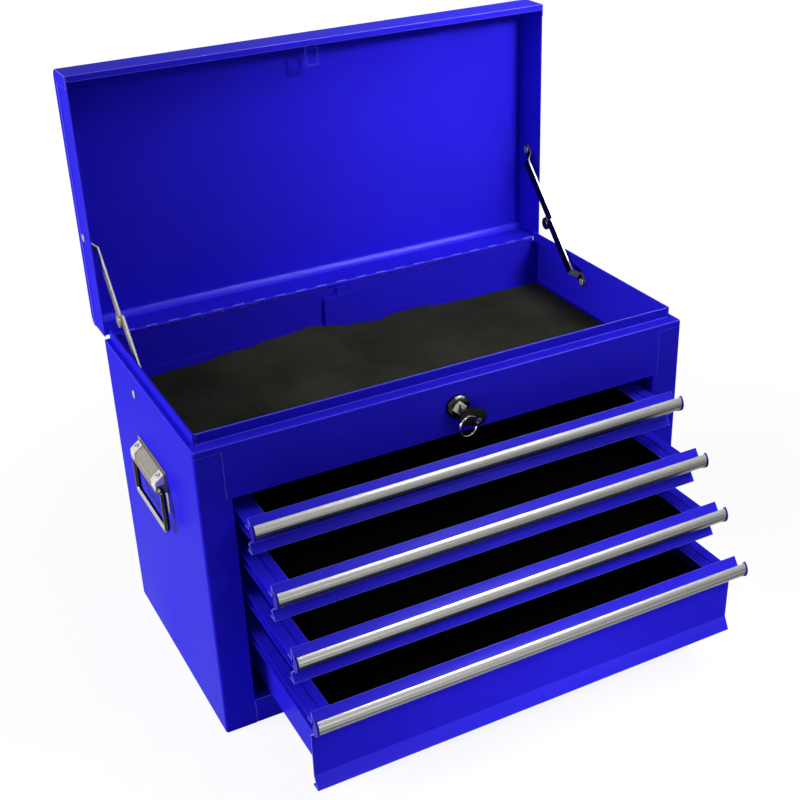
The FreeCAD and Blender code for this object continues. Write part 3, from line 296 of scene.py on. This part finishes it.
def powderCoat(name):
    values = paints[name]
    material, tree, shader = newMaterial(name + "BluePaint")
    cloud = noiseOf(tree, paintLooks["cloud"], paintLooks["cloudDetail"])
    tints = (values["shade"], values["colour"])
    tintAndGloss(tree, shader, cloud, tints, values["roughness"], paintLooks)
    shader.inputs["Specular IOR Level"].default_value = values["level"]
    peel = noiseOf(tree, paintLooks["peel"], paintLooks["peelDetail"], paintLooks["peelRoughness"])
    bumpOf(tree, shader, peel, paintLooks["bump"], values["peelDepth"])
    return material


brushed = (1, 60, 60)  # stretches the noise into lines along X
plain = (1, 1, 1)
metalLooks = dict(grit=0.55, tintAt=(0.3, 0.7), glossAt=(0.3, 0.75), dark=0.9, bump=0.3)
metals = dict(
    trim=dict(colour=(0.34, 0.34, 0.33, 1), roughness=(0.28, 0.34), grain=brushed, scale=40, depth=0.00002),
    # the next two are darker copies of the trim metal: painted shade on the trims' lower bands, their lines
    # and bottom edges
    trimLower=dict(colour=(0.16, 0.16, 0.155, 1), roughness=(0.3, 0.42), grain=brushed, scale=40,
                   depth=0.00002),
    trimLine=dict(colour=(0.03, 0.03, 0.03, 1), roughness=(0.4, 0.5), grain=brushed, scale=40, depth=0.00002),
    chrome=dict(colour=(0.40, 0.385, 0.35, 1), roughness=(0.08, 0.2), grain=plain, scale=60, depth=0.00001),
    # near-black chrome: the bails' own finish, and painted shade on the lock ring, the right stays' broad
    # sides and the screw slots
    darkChrome=dict(colour=(0.035, 0.034, 0.031, 1), roughness=(0.1, 0.18), grain=plain, scale=60,
                    depth=0.00001),
    # bracket: the metal of the bracket ends and screws, and a painted highlight on the ridge tops
    bracket=dict(colour=(0.84, 0.79, 0.69, 1), roughness=(0.2, 0.3), grain=plain, scale=90, depth=0.00001,
                 metallic=0.12),
    # bar: the bracket plate's darker metal, and painted shade on the left stays' broad sides
    bar=dict(colour=(0.36, 0.32, 0.25, 1), roughness=(0.22, 0.32), grain=plain, scale=90, depth=0.00001,
             metallic=0.6),
    # nickel: the metal of the nickel_steel parts, and a painted highlight on the bails
    nickel=dict(colour=(0.66, 0.62, 0.53, 1), roughness=(0.2, 0.28), grain=plain, scale=90, depth=0.00001,
                metallic=0.5),
    plate=dict(colour=(0.95, 0.95, 0.90, 1), roughness=(0.5, 0.55), grain=plain, scale=90, depth=0.00001,
               metallic=0.5),
    zinc=dict(colour=(0.62, 0.64, 0.66, 1), roughness=(0.3, 0.5), grain=plain, scale=70, depth=0.00003),
)


def metal(name):
    values = metals[name]
    material, tree, shader = newMaterial(name + "Metal")
    shader.inputs["Metallic"].default_value = values.get("metallic", 1.0)
    noise = noiseOf(tree, values["scale"], roughness=metalLooks["grit"], stretch=values["grain"])
    tints = (darker(values["colour"], metalLooks["dark"]), values["colour"])
    tintAndGloss(tree, shader, noise, tints, values["roughness"], metalLooks)
    bumpOf(tree, shader, noise, metalLooks["bump"], values["depth"])
    return material


plasticLooks = dict(scale=400, tintAt=(0.3, 0.7), glossAt=(0.3, 0.7), dark=0.8, bump=0.3, depth=0.00003)
plastics = dict(
    blueCap=dict(colour=(0.020, 0.012, 0.45, 1), roughness=(0.3, 0.45), level=0.03),
    blackKey=dict(colour=(0.005, 0.005, 0.0055, 1), roughness=(0.22, 0.32), level=0.15),
)


def plastic(name):
    values = plastics[name]
    material, tree, shader = newMaterial(name + "Plastic")
    noise = noiseOf(tree, plasticLooks["scale"])
    tints = (darker(values["colour"], plasticLooks["dark"]), values["colour"])
    tintAndGloss(tree, shader, noise, tints, values["roughness"], plasticLooks)
    bumpOf(tree, shader, noise, plasticLooks["bump"], plasticLooks["depth"])
    shader.inputs["Specular IOR Level"].default_value = values["level"]
    return material


foamLooks = dict(patchDetail=6, patchRoughness=0.65, tintAt=(0.35, 0.68), cell=900, cellDetail=3,
                 cellRoughness=0.6, bump=0.5)
foams = dict(
    tray=dict(dark=(0.0190, 0.0190, 0.0125, 1), light=(0.044, 0.044, 0.0300, 1), patch=7, roughness=0.85,
              depth=0.00012, level=0.02),
    drawer=dict(dark=grey(0.0010), light=grey(0.0026), patch=12, roughness=0.6, depth=0.00008, level=0.05),
)


def foam(name):
    values = foams[name]
    material, tree, shader = newMaterial(name + "Foam")
    patches = noiseOf(tree, values["patch"], foamLooks["patchDetail"], foamLooks["patchRoughness"])
    tints = (values["dark"], values["light"])
    rampTo(tree, shader.inputs["Base Color"], patches, foamLooks["tintAt"], tints)
    shader.inputs["Roughness"].default_value = values["roughness"]
    shader.inputs["Specular IOR Level"].default_value = values["level"]
    cells = noiseOf(tree, foamLooks["cell"], foamLooks["cellDetail"], foamLooks["cellRoughness"])
    bumpOf(tree, shader, cells, foamLooks["bump"], values["depth"])
    return material


bluePaint = powderCoat("flat")
# painted highlight: a lighter blue for upward-facing slopes, over a glossier coat
bendGlossAndSheenPaint = powderCoat("bend")
# painted highlight: a lighter blue still for the lid's folds, over a glossier coat
foldGlossAndSheenPaint = powderCoat("fold")
edgeHighlightPaint = powderCoat("edge")  # painted highlight: a light blue on rounded edges, the header's front-up faces and the tops of the case's knuckles
trimMetal = metal("trim")
shadedTrimLowerMetal = metal("trimLower")
shadedTrimLineMetal = metal("trimLine")
chromeMetal = metal("chrome")
shadeAndDarkChromeMetal = metal("darkChrome")
bracketMetal = metal("bracket")
plateMetal = metal("plate")
barAndShadeMetal = metal("bar")
nickelAndHighlightMetal = metal("nickel")
keyPlastic = plastic("blackKey")
trayFoam = foam("tray")
drawerFoam = foam("drawer")
slotMaterials = {
    "blue_paint": bluePaint, "brushed_trim": trimMetal, "chrome_hardware": chromeMetal,
    "nickel_steel": nickelAndHighlightMetal, "zinc_steel": metal("zinc"), "blue_plastic": plastic("blueCap"),
    "black_foam": drawerFoam, "black_plastic": keyPlastic,
}
slotOf = {row["node"]: row["material_slot"] for row in frame["record"]["subparts"]}
bodyOf = {node: body for body, names in frame["record"]["behaviour"]["bodies"].items() for node in names}
for name, piece in nodes.items():
    paintWith(piece, slotMaterials[slotOf[name]])
print("materials on", len(nodes), "nodes")


# Sheet metal and hardware: each CAD shape gets its small edge radii, and the upward-facing bends a glossier
# coat whose lighter blue is a painted highlight

softEdges = dict(
    sheet=dict(width=0.45, segments=2, angle=35),
    front=dict(width=0.48, segments=2, angle=35),
    hardware=dict(width=0.35, segments=2, angle=40),
    small=dict(width=0.15, segments=2, angle=40),
    rivet=dict(width=0.9, segments=3, angle=60),
)
drawerNumbers = range(1, 5)


def drawerNodes(kind):
    return ["drawer_%d_%s" % (number, kind) for number in drawerNumbers]


softNodes = dict(
    sheet=["case_wrapper", "header_panel", "base_pan", "tray_floor", "lock_bar_channel", "lid_panel",
           "lid_end_left", "lid_end_right", "lid_striker"] + drawerNodes("pan"),
    front=drawerNodes("front"),
    small=drawerNodes("caps"),
    rivet=["stay_rivets_case", "stay_rivets_lid"],
)
plainNodes = ["tray_floor", "lock_bar_channel"]  # flat paint all over, inside the case
paintIndex = dict(flat=0, bend=1, edge=2, fold=3)
# face-direction limits for the painted highlights: flat faces, upward slopes, the header's front edge and the
# lid's folds
paintTurns = dict(flatFrom=0.985, bendRise=0.35, frontEdge=0.6, foldRise=0.95)


def paintPiece(piece):
    paintWith(piece, bluePaint, bendGlossAndSheenPaint, edgeHighlightPaint, foldGlossAndSheenPaint)
    # painted highlight: sloping faces that turn upward take the lighter bend paint, the header's front-up
    # faces the edge paint and the lid's folds the fold paint
    for face in piece.data.polygons:
        slopes = max(abs(part) for part in face.normal) < paintTurns["flatFrom"]
        raised = slopes and face.normal.z > paintTurns["bendRise"]
        front = min(-face.normal.y, face.normal.z) > paintTurns["frontEdge"]
        paint = "bend" if raised else "flat"
        if piece.name.startswith("header_panel") and front:
            paint = "edge"
        if piece.name.startswith("lid_panel") and raised and face.normal.z < paintTurns["foldRise"]:
            paint = "fold"
        face.material_index = paintIndex[paint]


def soften(name, edge):
    slotName = slotOf[name]
    material = slotMaterials[slotName]
    piece = copyOf(name, ".edges")
    edgeIndex = -1
    if slotName == "blue_paint":
        material = None
        if name not in plainNodes:
            paintPiece(piece)
            edgeIndex = paintIndex["edge"]
    # the bevel's new faces take the edge paint, a painted highlight along each rounded edge
    rounded(piece, edge["width"], edge["segments"], edge["angle"], edgeIndex)
    return finishPiece(piece, bodyOf[name], material, [name])


for group, names in softNodes.items():
    for name in names:
        soften(name, softEdges[group])
    print(group, "edges rounded on", len(names), "pieces")

sideTurn = -0.6  # painted shade: the stays' broad left sides take a darker metal than their narrow edges
for side, shadedSideMetal in (("left", barAndShadeMetal), ("right", shadeAndDarkChromeMetal)):
    for link in ("lower", "upper"):
        stay = soften("stay_%s_%s" % (link, side), softEdges["hardware"])
        paintFaces(stay, shadedSideMetal, lambda face: face.normal.x < sideTurn)
print("lid stays finished")


# Side handles: a satin bracket with two raised ends and their screws, its ridge tops a painted highlight, and
# a bail of dark polished wire with a painted highlight on its outward, upward faces

handle = dict(
    ends=((-45.0, -30.5), (29.5, 44.0)),
    section=[(301.4, 281.0), (303.6, 281.0), (313.0, 274.2), (314.15, 272.4), (314.15, 264.2),
             (312.4, 264.2), (309.6, 267.0), (301.4, 267.0)],
    middle=(-30.6, 29.6),
    middleSection=[(301.4, 280.0), (303.2, 280.0), (306.6, 276.9), (308.0, 276.9), (312.4, 272.8),
                   (313.2, 271.2), (313.2, 265.2), (311.9, 265.2), (309.6, 267.4), (301.4, 267.4)],
    plateEdge=(0.35, 2, 40), ridgeEdge=(0.25, 2, 25), endEdge=(0.7, 3), ridgeTop=0.98, ridgeFrom=305,
    bright=(0.80, 0.60), brightFrom=0.8, frontLeg=-30.0,
)
screw = dict(radius=3.3, height=1.5, middle=(308.2, 277.6), sides=28, edge=(0.9, 4), slot=(4.4, 0.9, 0.5),
             slotTurns=(25, 115), slotRise=0.06)


def castPart(side, section, y0, y1):
    bpy.ops.mesh.primitive_circle_add(vertices=len(section), radius=0.01, fill_type="NGON")
    piece = bpy.context.object
    for point, (x, z) in zip(piece.data.vertices, section):
        point.co = (side * x * mm, y0 * mm, z * mm)
    editAll(piece)
    bpy.ops.mesh.extrude_region_move(TRANSFORM_OT_translate={"value": (0, (y1 - y0) * mm, 0)})
    bpy.ops.mesh.select_all(action="SELECT")
    bpy.ops.mesh.normals_make_consistent(inside=False)
    leaveEdit()
    return piece


def bracketScrew(side, y):
    x, z = screw["middle"]
    (x0, z0), (x1, z1) = handle["section"][1:3]
    out = Vector((side * (z0 - z1), 0, x1 - x0)).normalized()
    turn = out.to_track_quat("Z", "Y").to_euler()
    middle = Vector((side * x, y, z)) * mm
    bpy.ops.mesh.primitive_cylinder_add(
        vertices=screw["sides"], radius=screw["radius"] * mm, depth=2 * screw["height"] * mm,
        location=middle, rotation=turn)
    head = rounded(settle(bpy.context.object), *screw["edge"])
    parts = [paintWith(head, bracketMetal)]
    # painted shade: the cross slot is two dark boxes sunk into the head and standing just proud of it, not a
    # cut
    length, width, depth = screw["slot"]
    for angle in screw["slotTurns"]:
        bpy.ops.mesh.primitive_cube_add(size=1, location=(0, 0, 0))
        slotShadeBox = bpy.context.object
        slotShadeBox.scale = (length * mm, width * mm, depth * mm)
        settle(slotShadeBox)
        slotShadeBox.rotation_euler = (0, 0, math.radians(angle))
        settle(slotShadeBox)
        slotShadeBox.rotation_euler = turn
        slotShadeBox.location = middle + out * (screw["height"] - depth / 2 + screw["slotRise"]) * mm
        parts.append(paintWith(settle(slotShadeBox), shadeAndDarkChromeMetal))
    return joinPieces(parts, "bracketScrew")


def makeBracket(name, side):
    node = "handle_bracket_" + name
    plate = paintWith(rounded(copyOf(node, ".satin"), *handle["plateEdge"]), barAndShadeMetal)
    ridge = paintWith(castPart(side, handle["middleSection"], *handle["middle"]), barAndShadeMetal)

    # painted highlight: the ridge's upward faces take the bright bracket metal, the rest of it the darker bar
    # metal
    def ridgeTop(face):
        return face.normal.z > handle["ridgeTop"] and face.center.x * side / mm > handle["ridgeFrom"]

    paintFaces(ridge, bracketMetal, ridgeTop)
    parts = [plate, rounded(ridge, *handle["ridgeEdge"])]
    for y0, y1 in handle["ends"]:
        end = rounded(castPart(side, handle["section"], y0, y1), *handle["endEdge"])
        parts += [paintWith(end, bracketMetal), bracketScrew(side, (y0 + y1) / 2)]
    piece = joinPieces(parts, "bracket." + name)
    finishPiece(piece, "case", None, [node])


def makeBail(name, side):
    node = "handle_bail_" + name
    bail = copyOf(node, ".wire")
    finishPiece(bail, "bail_" + name, shadeAndDarkChromeMetal, [node], smoothAngle=60)
    out, up = handle["bright"]

    # painted highlight: faces turned outward and up, except on the front leg, take the bright nickel metal
    def brightSide(face):
        outward = face.normal.x * side * out + face.normal.z * up
        return outward > handle["brightFrom"] and face.center.y / mm > handle["frontLeg"]

    paintFaces(bail, nickelAndHighlightMetal, brightSide)


for handleName, handleSide in (("left", -1), ("right", 1)):
    makeBracket(handleName, handleSide)
    makeBail(handleName, handleSide)
print("handles made")


# The foam mat in the tray, curled up along its rear edge

trayMat = dict(
    width=584, depth=295, middle=(0, -2.5), top=301.6, thickness=1.9, cuts=(146, 74), fade=190, ripple=0.35,
    rear=[(-292, 0.5), (-200, 2), (-130, 7), (-100, 10), (-71, 12.5), (-45, 15), (-19, 9.6), (12, 4.5),
          (51, 1.5), (73, 5), (119, 5), (143, 2.4), (176, 1.4), (292, 0.3)],
    ridges=[(-215, 24, 1.6), (-160, 20, 2.0), (-105, 18, 1.6), (-30, 24, 1.8), (30, 22, 1.2), (96, 22, 1.5)],
    steepness=1.8, ridgeSlant=0.1, ridgeFade=60, seed=7, waves=6, waveX=(0.02, 0.06), waveY=(0.01, 0.04),
    waveStart=(0, 6.3),
)


def rearLift(x):
    points = trayMat["rear"]
    for (x0, z0), (x1, z1) in zip(points, points[1:]):
        if x <= x1:
            share = (1 - math.cos(math.pi * (x - x0) / (x1 - x0))) / 2
            return z0 + (z1 - z0) * share
    return points[-1][1]


def makeTrayMat():
    columns, rows = trayMat["cuts"]
    bpy.ops.mesh.primitive_grid_add(x_subdivisions=columns, y_subdivisions=rows, size=1)
    piece = bpy.context.object
    piece.scale = (trayMat["width"] * mm, trayMat["depth"] * mm, 1)
    piece.location = (trayMat["middle"][0] * mm, trayMat["middle"][1] * mm, trayMat["top"] * mm)
    settle(piece)
    rearEdge = trayMat["middle"][1] + trayMat["depth"] / 2
    dice = random.Random(trayMat["seed"])
    spans = (trayMat["waveX"], trayMat["waveY"], trayMat["waveStart"])
    waves = [[dice.uniform(*span) for span in spans] for _ in range(trayMat["waves"])]
    for point in piece.data.vertices:
        x, y = point.co.x / mm, point.co.y / mm
        back = max(0.0, 1 - (rearEdge - y) / trayMat["fade"])
        front = min(1.0, (y - rearEdge + trayMat["depth"]) / trayMat["ridgeFade"])
        lift = rearLift(x) * back ** trayMat["steepness"]
        slant = (rearEdge - y) * trayMat["ridgeSlant"]
        for place, half, height in trayMat["ridges"]:
            lift += height * math.exp(-((x - place - slant) / half) ** 2) * front
        wave = sum(math.sin(x * across + y * along + start) for across, along, start in waves) / len(waves)
        lift += trayMat["ripple"] * (1 + wave)
        point.co.z += lift * mm
    thicken(piece, trayMat["thickness"])
    piece.name = "trayMat"
    finishPiece(piece, "case", trayFoam, ["tray_mat"])


makeTrayMat()
print("tray mat laid")


# Foam liners in the drawers, one folded tray each

liner = dict(thickness=1.5, corner=3.5, segments=3, openTop=0.9, rim=1.0)


def makeLiner(number):
    node = "drawer_%d_mat" % number
    low, high = (Vector(corner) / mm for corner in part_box(node))
    piece = block(low, high, "drawerLiner%d" % number)
    selectFaces(piece, lambda face: face.normal.z > liner["openTop"])
    bpy.ops.mesh.delete(type="FACE")
    leaveEdit()
    selectEdges(piece, lambda a, b: min(a.z, b.z) < (high.z - liner["rim"]) * mm)
    bpy.ops.mesh.bevel(offset=liner["corner"] * mm, segments=liner["segments"])
    leaveEdit()
    thicken(piece, liner["thickness"])
    finishPiece(piece, "drawer_%d" % number, drawerFoam, [node])


for number in drawerNumbers:
    makeLiner(number)
print("drawer liners folded")


# Pull trims: a bright band over a fine dark line, and a darker, slightly rougher band under it; the line, a
# dark strip along the bottom edge and the lower band's darker colour are painted shade

# heights above the trim's bottom: the painted shade line, and the top of the painted shade strip along the
# bottom edge
trim = dict(line=(8.7, 9.8), lower=1.4)


def makeTrim(number):
    node = "drawer_%d_trim" % number
    piece = copyOf(node, ".bands")
    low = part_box(node)[0]
    levels = [low.z + height * mm for height in trim["line"] + (trim["lower"],)]
    for level in levels:
        editAll(piece)
        bpy.ops.mesh.bisect(plane_co=(0, 0, level), plane_no=(0, 0, 1))
        leaveEdit()
    finishPiece(piece, bodyOf[node], trimMetal, [node])
    lineFrom, lineTo, foot = levels
    # painted shade: the lower band takes a darker copy of the trim metal, the line and the strip below the
    # foot a near-black one
    paintFaces(piece, shadedTrimLowerMetal, lambda face: foot < face.center.z < lineFrom)
    paintFaces(piece, shadedTrimLineMetal, lambda face: lineFrom < face.center.z < lineTo or face.center.z < foot)


for number in drawerNumbers:
    makeTrim(number)
print("trims banded")


# The long lid hinge: two leaves, and a barrel of short curled knuckles in turn

hinge = dict(
    half=290, knuckles=42, radius=2.4, wide=2.5, sides=20, play=0.35, wideFrom=20, wideTo=22,
    axis=(153.0, 364.0), edge=(0.3, 2), barrel=3, brightRise=0.75, brightBack=0.4,
    case=[((151.9, 345.0), (151.99, 361.8)), ((151.95, 361.0), (152.6, 361.55))],
    lid=[((155.35, 365.0), (172.0, 365.8))],
)


def paintKnuckleHighlights(piece):
    axisY, axisZ = hinge["axis"]
    for face in piece.data.polygons:  # painted highlight: the tops of the case's knuckles take the light edge paint
        reach = math.hypot(face.center.y / mm - axisY, face.center.z / mm - axisZ)
        top = face.normal.z > hinge["brightRise"] and face.normal.y < hinge["brightBack"]
        if reach < hinge["barrel"] and top:
            face.material_index = paintIndex["edge"]


def makeHinge():
    axisY, axisZ = hinge["axis"]
    pitch = 2 * hinge["half"] / hinge["knuckles"]
    leaves = {"case": [], "lid": []}
    for number in range(hinge["knuckles"]):
        middle = -hinge["half"] + pitch * (number + 0.5)
        wide = hinge["wideFrom"] <= number <= hinge["wideTo"]
        bpy.ops.mesh.primitive_cylinder_add(
            vertices=hinge["sides"], radius=hinge["wide" if wide else "radius"] * mm,
            depth=(pitch - hinge["play"]) * mm, location=(middle * mm, axisY * mm, axisZ * mm),
            rotation=(0, math.radians(90), 0))
        knuckle = rounded(settle(bpy.context.object), *hinge["edge"])
        leaves["case" if number % 2 else "lid"].append(knuckle)
    for body in ("case", "lid"):
        for (y0, z0), (y1, z1) in hinge[body]:
            leaves[body].append(block((-hinge["half"], y0, z0), (hinge["half"], y1, z1)))
        piece = joinPieces(leaves[body], body + "HingeLeaf")
        paintPiece(piece)
        if body == "case":
            paintKnuckleHighlights(piece)
        finishPiece(piece, body, None, ["hinge_%s_leaf" % body])


makeHinge()
print("hinge made of", hinge["knuckles"], "knuckles")


# The lock: a domed ring, the square face of the plug, and the key with its split ring of two coils

lock = dict(ringEdge=3.0, ringSteps=5, ringProfile=0.6, ringFront=-157.9, ringRadius=13.5, well=8.9,
            brightSide=(0.12, 0.91), plugEdge=(0.2, 2, 40), plateFront=-158.2, centre=(0, 331))
keyRing = dict(centre=(5.8, -167.6, 311.2), radius=11.9, wire=0.62, coils=(-0.55, 0.55), turn=9,
               steps=(64, 10))
keyHead = dict(scale=0.9, about=(5.0, 334.0), edge=(0.7, 3, 40), bladeEdge=(0.2, 2, 40))
eyelet = dict(radius=3.6, wire=0.35, squash=0.5, place=(19.0, -166.9, 313.8), tilt=25, steps=(40, 8))


def makeLock():
    piece = copyOf("lock_housing", ".ring")
    centreX, centreZ = lock["centre"]
    level = 0.01 * mm

    def frontRim(a, b):
        middle = (a + b) / 2
        reach = math.hypot(middle.x / mm - centreX, middle.z / mm - centreZ)
        inFront = abs(a.y - b.y) < level and middle.y / mm < lock["ringFront"]
        return inFront and reach > lock["ringRadius"]

    selectEdges(piece, frontRim)
    bpy.ops.mesh.bevel(offset=lock["ringEdge"] * mm, segments=lock["ringSteps"], profile=lock["ringProfile"])
    leaveEdit()
    finishPiece(piece, "case", chromeMetal, ["lock_housing"], smoothAngle=50)
    lean, bound = lock["brightSide"]

    # painted shade: the ring's well and all of it but a band at the top take the dark chrome
    def darkSide(face):
        across, rise = face.center.x / mm - centreX, face.center.z / mm - centreZ
        reach = math.hypot(across, rise)
        return reach <= lock["well"] or across * lean + rise <= bound * reach

    paintFaces(piece, shadeAndDarkChromeMetal, darkSide)


def makePlug():
    plug = rounded(copyOf("lock_plug", ".face"), *lock["plugEdge"])
    finishPiece(plug, bodyOf["lock_plug"], chromeMetal, ["lock_plug"])
    paintFaces(plug, plateMetal, lambda face: face.center.y / mm < lock["plateFront"])


def makeKeyRing():
    coils = []
    normal = Matrix.Rotation(math.radians(keyRing["turn"]), 3, "Z") @ Vector((0, 1, 0))
    centre = Vector(keyRing["centre"]) * mm
    around, across = keyRing["steps"]
    for shift in keyRing["coils"]:
        bpy.ops.mesh.primitive_torus_add(
            major_segments=around, minor_segments=across, major_radius=keyRing["radius"] * mm,
            minor_radius=keyRing["wire"] * mm, location=centre + normal * shift * mm,
            rotation=normal.to_track_quat("Z", "Y").to_euler())
        coils.append(settle(bpy.context.object))
    piece = joinPieces(coils, "splitRing")
    finishPiece(piece, bodyOf["key_ring"], chromeMetal, ["key_ring"])


def makeEyelet():
    around, across = eyelet["steps"]
    bpy.ops.mesh.primitive_torus_add(
        major_segments=around, minor_segments=across, major_radius=eyelet["radius"] * mm,
        minor_radius=eyelet["wire"] * mm, location=(0, 0, 0), rotation=(math.radians(90), 0, 0))
    piece = settle(bpy.context.object)
    piece.scale = (1, 1, eyelet["squash"])
    settle(piece)
    piece.rotation_euler = (0, math.radians(-eyelet["tilt"]), 0)
    piece.location = Vector(eyelet["place"]) * mm
    return paintWith(settle(piece), chromeMetal)


def makeKeyHead():
    head = copyOf("key_head", ".grip")
    aboutX, aboutZ = (part * mm for part in keyHead["about"])
    for point in head.data.vertices:
        point.co.x = aboutX + (point.co.x - aboutX) * keyHead["scale"]
        point.co.z = aboutZ + (point.co.z - aboutZ) * keyHead["scale"]
    head = paintWith(rounded(head, *keyHead["edge"]), keyPlastic)
    piece = joinPieces([head, makeEyelet()], "keyHead")
    finishPiece(piece, bodyOf["key_head"], None, ["key_head"])
    blade = rounded(copyOf("key_blade", ".dark"), *keyHead["bladeEdge"])
    finishPiece(blade, bodyOf["key_blade"], keyPlastic, ["key_blade"])


makeLock()
makePlug()
makeKeyHead()
makeKeyRing()
print("lock ring, key head and split ring made")


# Camera, floor and light

camera = dict(
    azimuth=-26.29, elevation=28.18, roll=-2.28, place=(-0.6109, -1.2504, 1.0132), lens=59.22, sensor=36,
)


def addCamera():
    azimuth, elevation = math.radians(camera["azimuth"]), math.radians(camera["elevation"])
    back = Vector((math.sin(azimuth) * math.cos(elevation), -math.cos(azimuth) * math.cos(elevation),
                   math.sin(elevation)))
    right = (-back).cross(Vector((0, 0, 1))).normalized()
    up = right.cross(-back).normalized()
    turn = math.radians(camera["roll"])
    across = right * math.cos(turn) + up * math.sin(turn)
    upright = up * math.cos(turn) - right * math.sin(turn)
    data = bpy.data.cameras.new("camera")
    data.lens = camera["lens"]
    data.sensor_width = camera["sensor"]
    holder = bpy.data.objects.new("camera", data)
    scene.collection.objects.link(holder)
    turned = Matrix((across, upright, back)).transposed().to_4x4()
    holder.matrix_world = Matrix.Translation(camera["place"]) @ turned
    scene.camera = holder


# The floor's glow has its own strength near and far: (distance, strength) for the camera and for mirrors
floor = dict(size=60, height=-0.0002, colour=0.85, roughness=0.9, shadowed=0.2, near=(0.5, 0.88),
             far=(1.8, 1.0), mirrorNear=(0.42, 1.25), mirrorFar=(0.85, 0.35))


def whiteRays(tree):  # one for rays from the camera, a mirror or glass, which see the white studio, else zero
    lightPath = tree.nodes.new("ShaderNodeLightPath")
    last = lightPath.outputs["Is Camera Ray"]
    for ray in ("Is Glossy Ray", "Is Transmission Ray"):
        either = tree.nodes.new("ShaderNodeMath")
        either.operation = "MAXIMUM"
        tree.links.new(last, either.inputs[0])
        tree.links.new(lightPath.outputs[ray], either.inputs[1])
        last = either.outputs[0]
    return last


def mixRays(tree, others, seen, output):
    mix = tree.nodes.new("ShaderNodeMixShader")
    tree.links.new(whiteRays(tree), mix.inputs["Fac"])
    tree.links.new(others.outputs[0], mix.inputs[1])
    tree.links.new(seen.outputs[0], mix.inputs[2])
    tree.links.new(mix.outputs[0], output.inputs["Surface"])


def floorGlow(tree):
    glow = addNode(tree, "ShaderNodeEmission")
    place = tree.nodes.new("ShaderNodeTexCoord")
    reach = addNode(tree, "ShaderNodeVectorMath", operation="LENGTH")
    tree.links.new(place.outputs["Object"], reach.inputs[0])
    lightPath = tree.nodes.new("ShaderNodeLightPath")
    strength = addNode(tree, "ShaderNodeMix", data_type="FLOAT")
    tree.links.new(lightPath.outputs["Is Glossy Ray"], strength.inputs["Factor"])
    seenLimits, mirrorLimits = floor["near"] + floor["far"], floor["mirrorNear"] + floor["mirrorFar"]
    for socket, limits in ((2, seenLimits), (3, mirrorLimits)):
        fade = tree.nodes.new("ShaderNodeMapRange")
        for field, value in zip(("From Min", "To Min", "From Max", "To Max"), limits):
            fade.inputs[field].default_value = value
        tree.links.new(reach.outputs["Value"], fade.inputs["Value"])
        tree.links.new(fade.outputs["Result"], strength.inputs[socket])
    tree.links.new(strength.outputs[0], glow.inputs["Strength"])
    shade = addNode(tree, "ShaderNodeBsdfDiffuse", Color=grey(floor["shadowed"]))
    seen = tree.nodes.new("ShaderNodeAddShader")
    tree.links.new(glow.outputs[0], seen.inputs[0])
    tree.links.new(shade.outputs[0], seen.inputs[1])
    return seen


def addFloor():
    bpy.ops.mesh.primitive_plane_add(size=floor["size"], location=(0, 0, floor["height"]))
    plane = settle(bpy.context.object)
    plane.name = "floor"
    material, tree, shader = newMaterial("paleFloor")
    shader.inputs["Base Color"].default_value = grey(floor["colour"])
    shader.inputs["Roughness"].default_value = floor["roughness"]
    shader.inputs["Specular IOR Level"].default_value = 0.0
    mixRays(tree, shader, floorGlow(tree), tree.nodes["Material Output"])
    plane.data.materials.append(material)


worldLight = dict(strength=0.08, white=1.0)


def addWorld():
    world = bpy.data.worlds.new("studio")
    scene.world = world
    world.use_nodes = True
    tree = world.node_tree
    tree.nodes.clear()
    output = tree.nodes.new("ShaderNodeOutputWorld")
    soft = addNode(tree, "ShaderNodeBackground", Strength=worldLight["strength"], Color=grey(1))
    white = addNode(tree, "ShaderNodeBackground", Strength=worldLight["white"], Color=grey(1))
    mixRays(tree, soft, white, output)


lamps = dict(
    left=dict(place=(-2.3, 0.3, 1.1), aim=(0, 0, 0.3), size=(1.0, 1.2), spread=180, power=44),
    overhead=dict(place=(0.7, -0.38, 1.4), aim=(0, -0.1, 0.3), size=(0.6, 0.6), spread=180, power=8.5),
    lidWash=dict(place=(0.6, -1.6, 1.5), aim=(0.25, 0.2, 0.66), size=(0.4, 0.4), spread=24, power=0.9),
    sparkle=dict(place=(0.6, -1.35, 1.35), aim=(0.08, -0.5, 0.0), size=(0.3, 0.3), spread=36, power=0.7),
    cardFront=dict(place=(0.1, -1.5, 0.15), aim=(0, -0.33, 0.08), size=(0.4, 0.3), spread=30, power=0.1),
)


def addLamp(name, values):
    data = bpy.data.lights.new(name, "AREA")
    data.shape = "RECTANGLE"
    data.size, data.size_y = values["size"]
    data.spread = math.radians(values["spread"])
    data.energy = values["power"]
    lamp = bpy.data.objects.new(name, data)
    scene.collection.objects.link(lamp)
    lamp.location = values["place"]
    direction = Vector(values["aim"]) - Vector(values["place"])
    lamp.rotation_euler = direction.to_track_quat("-Z", "Y").to_euler()


addCamera()
addFloor()
addWorld()
for lampName, lampValues in lamps.items():
    addLamp(lampName, lampValues)
print("camera, floor and", len(lamps), "lamps placed")
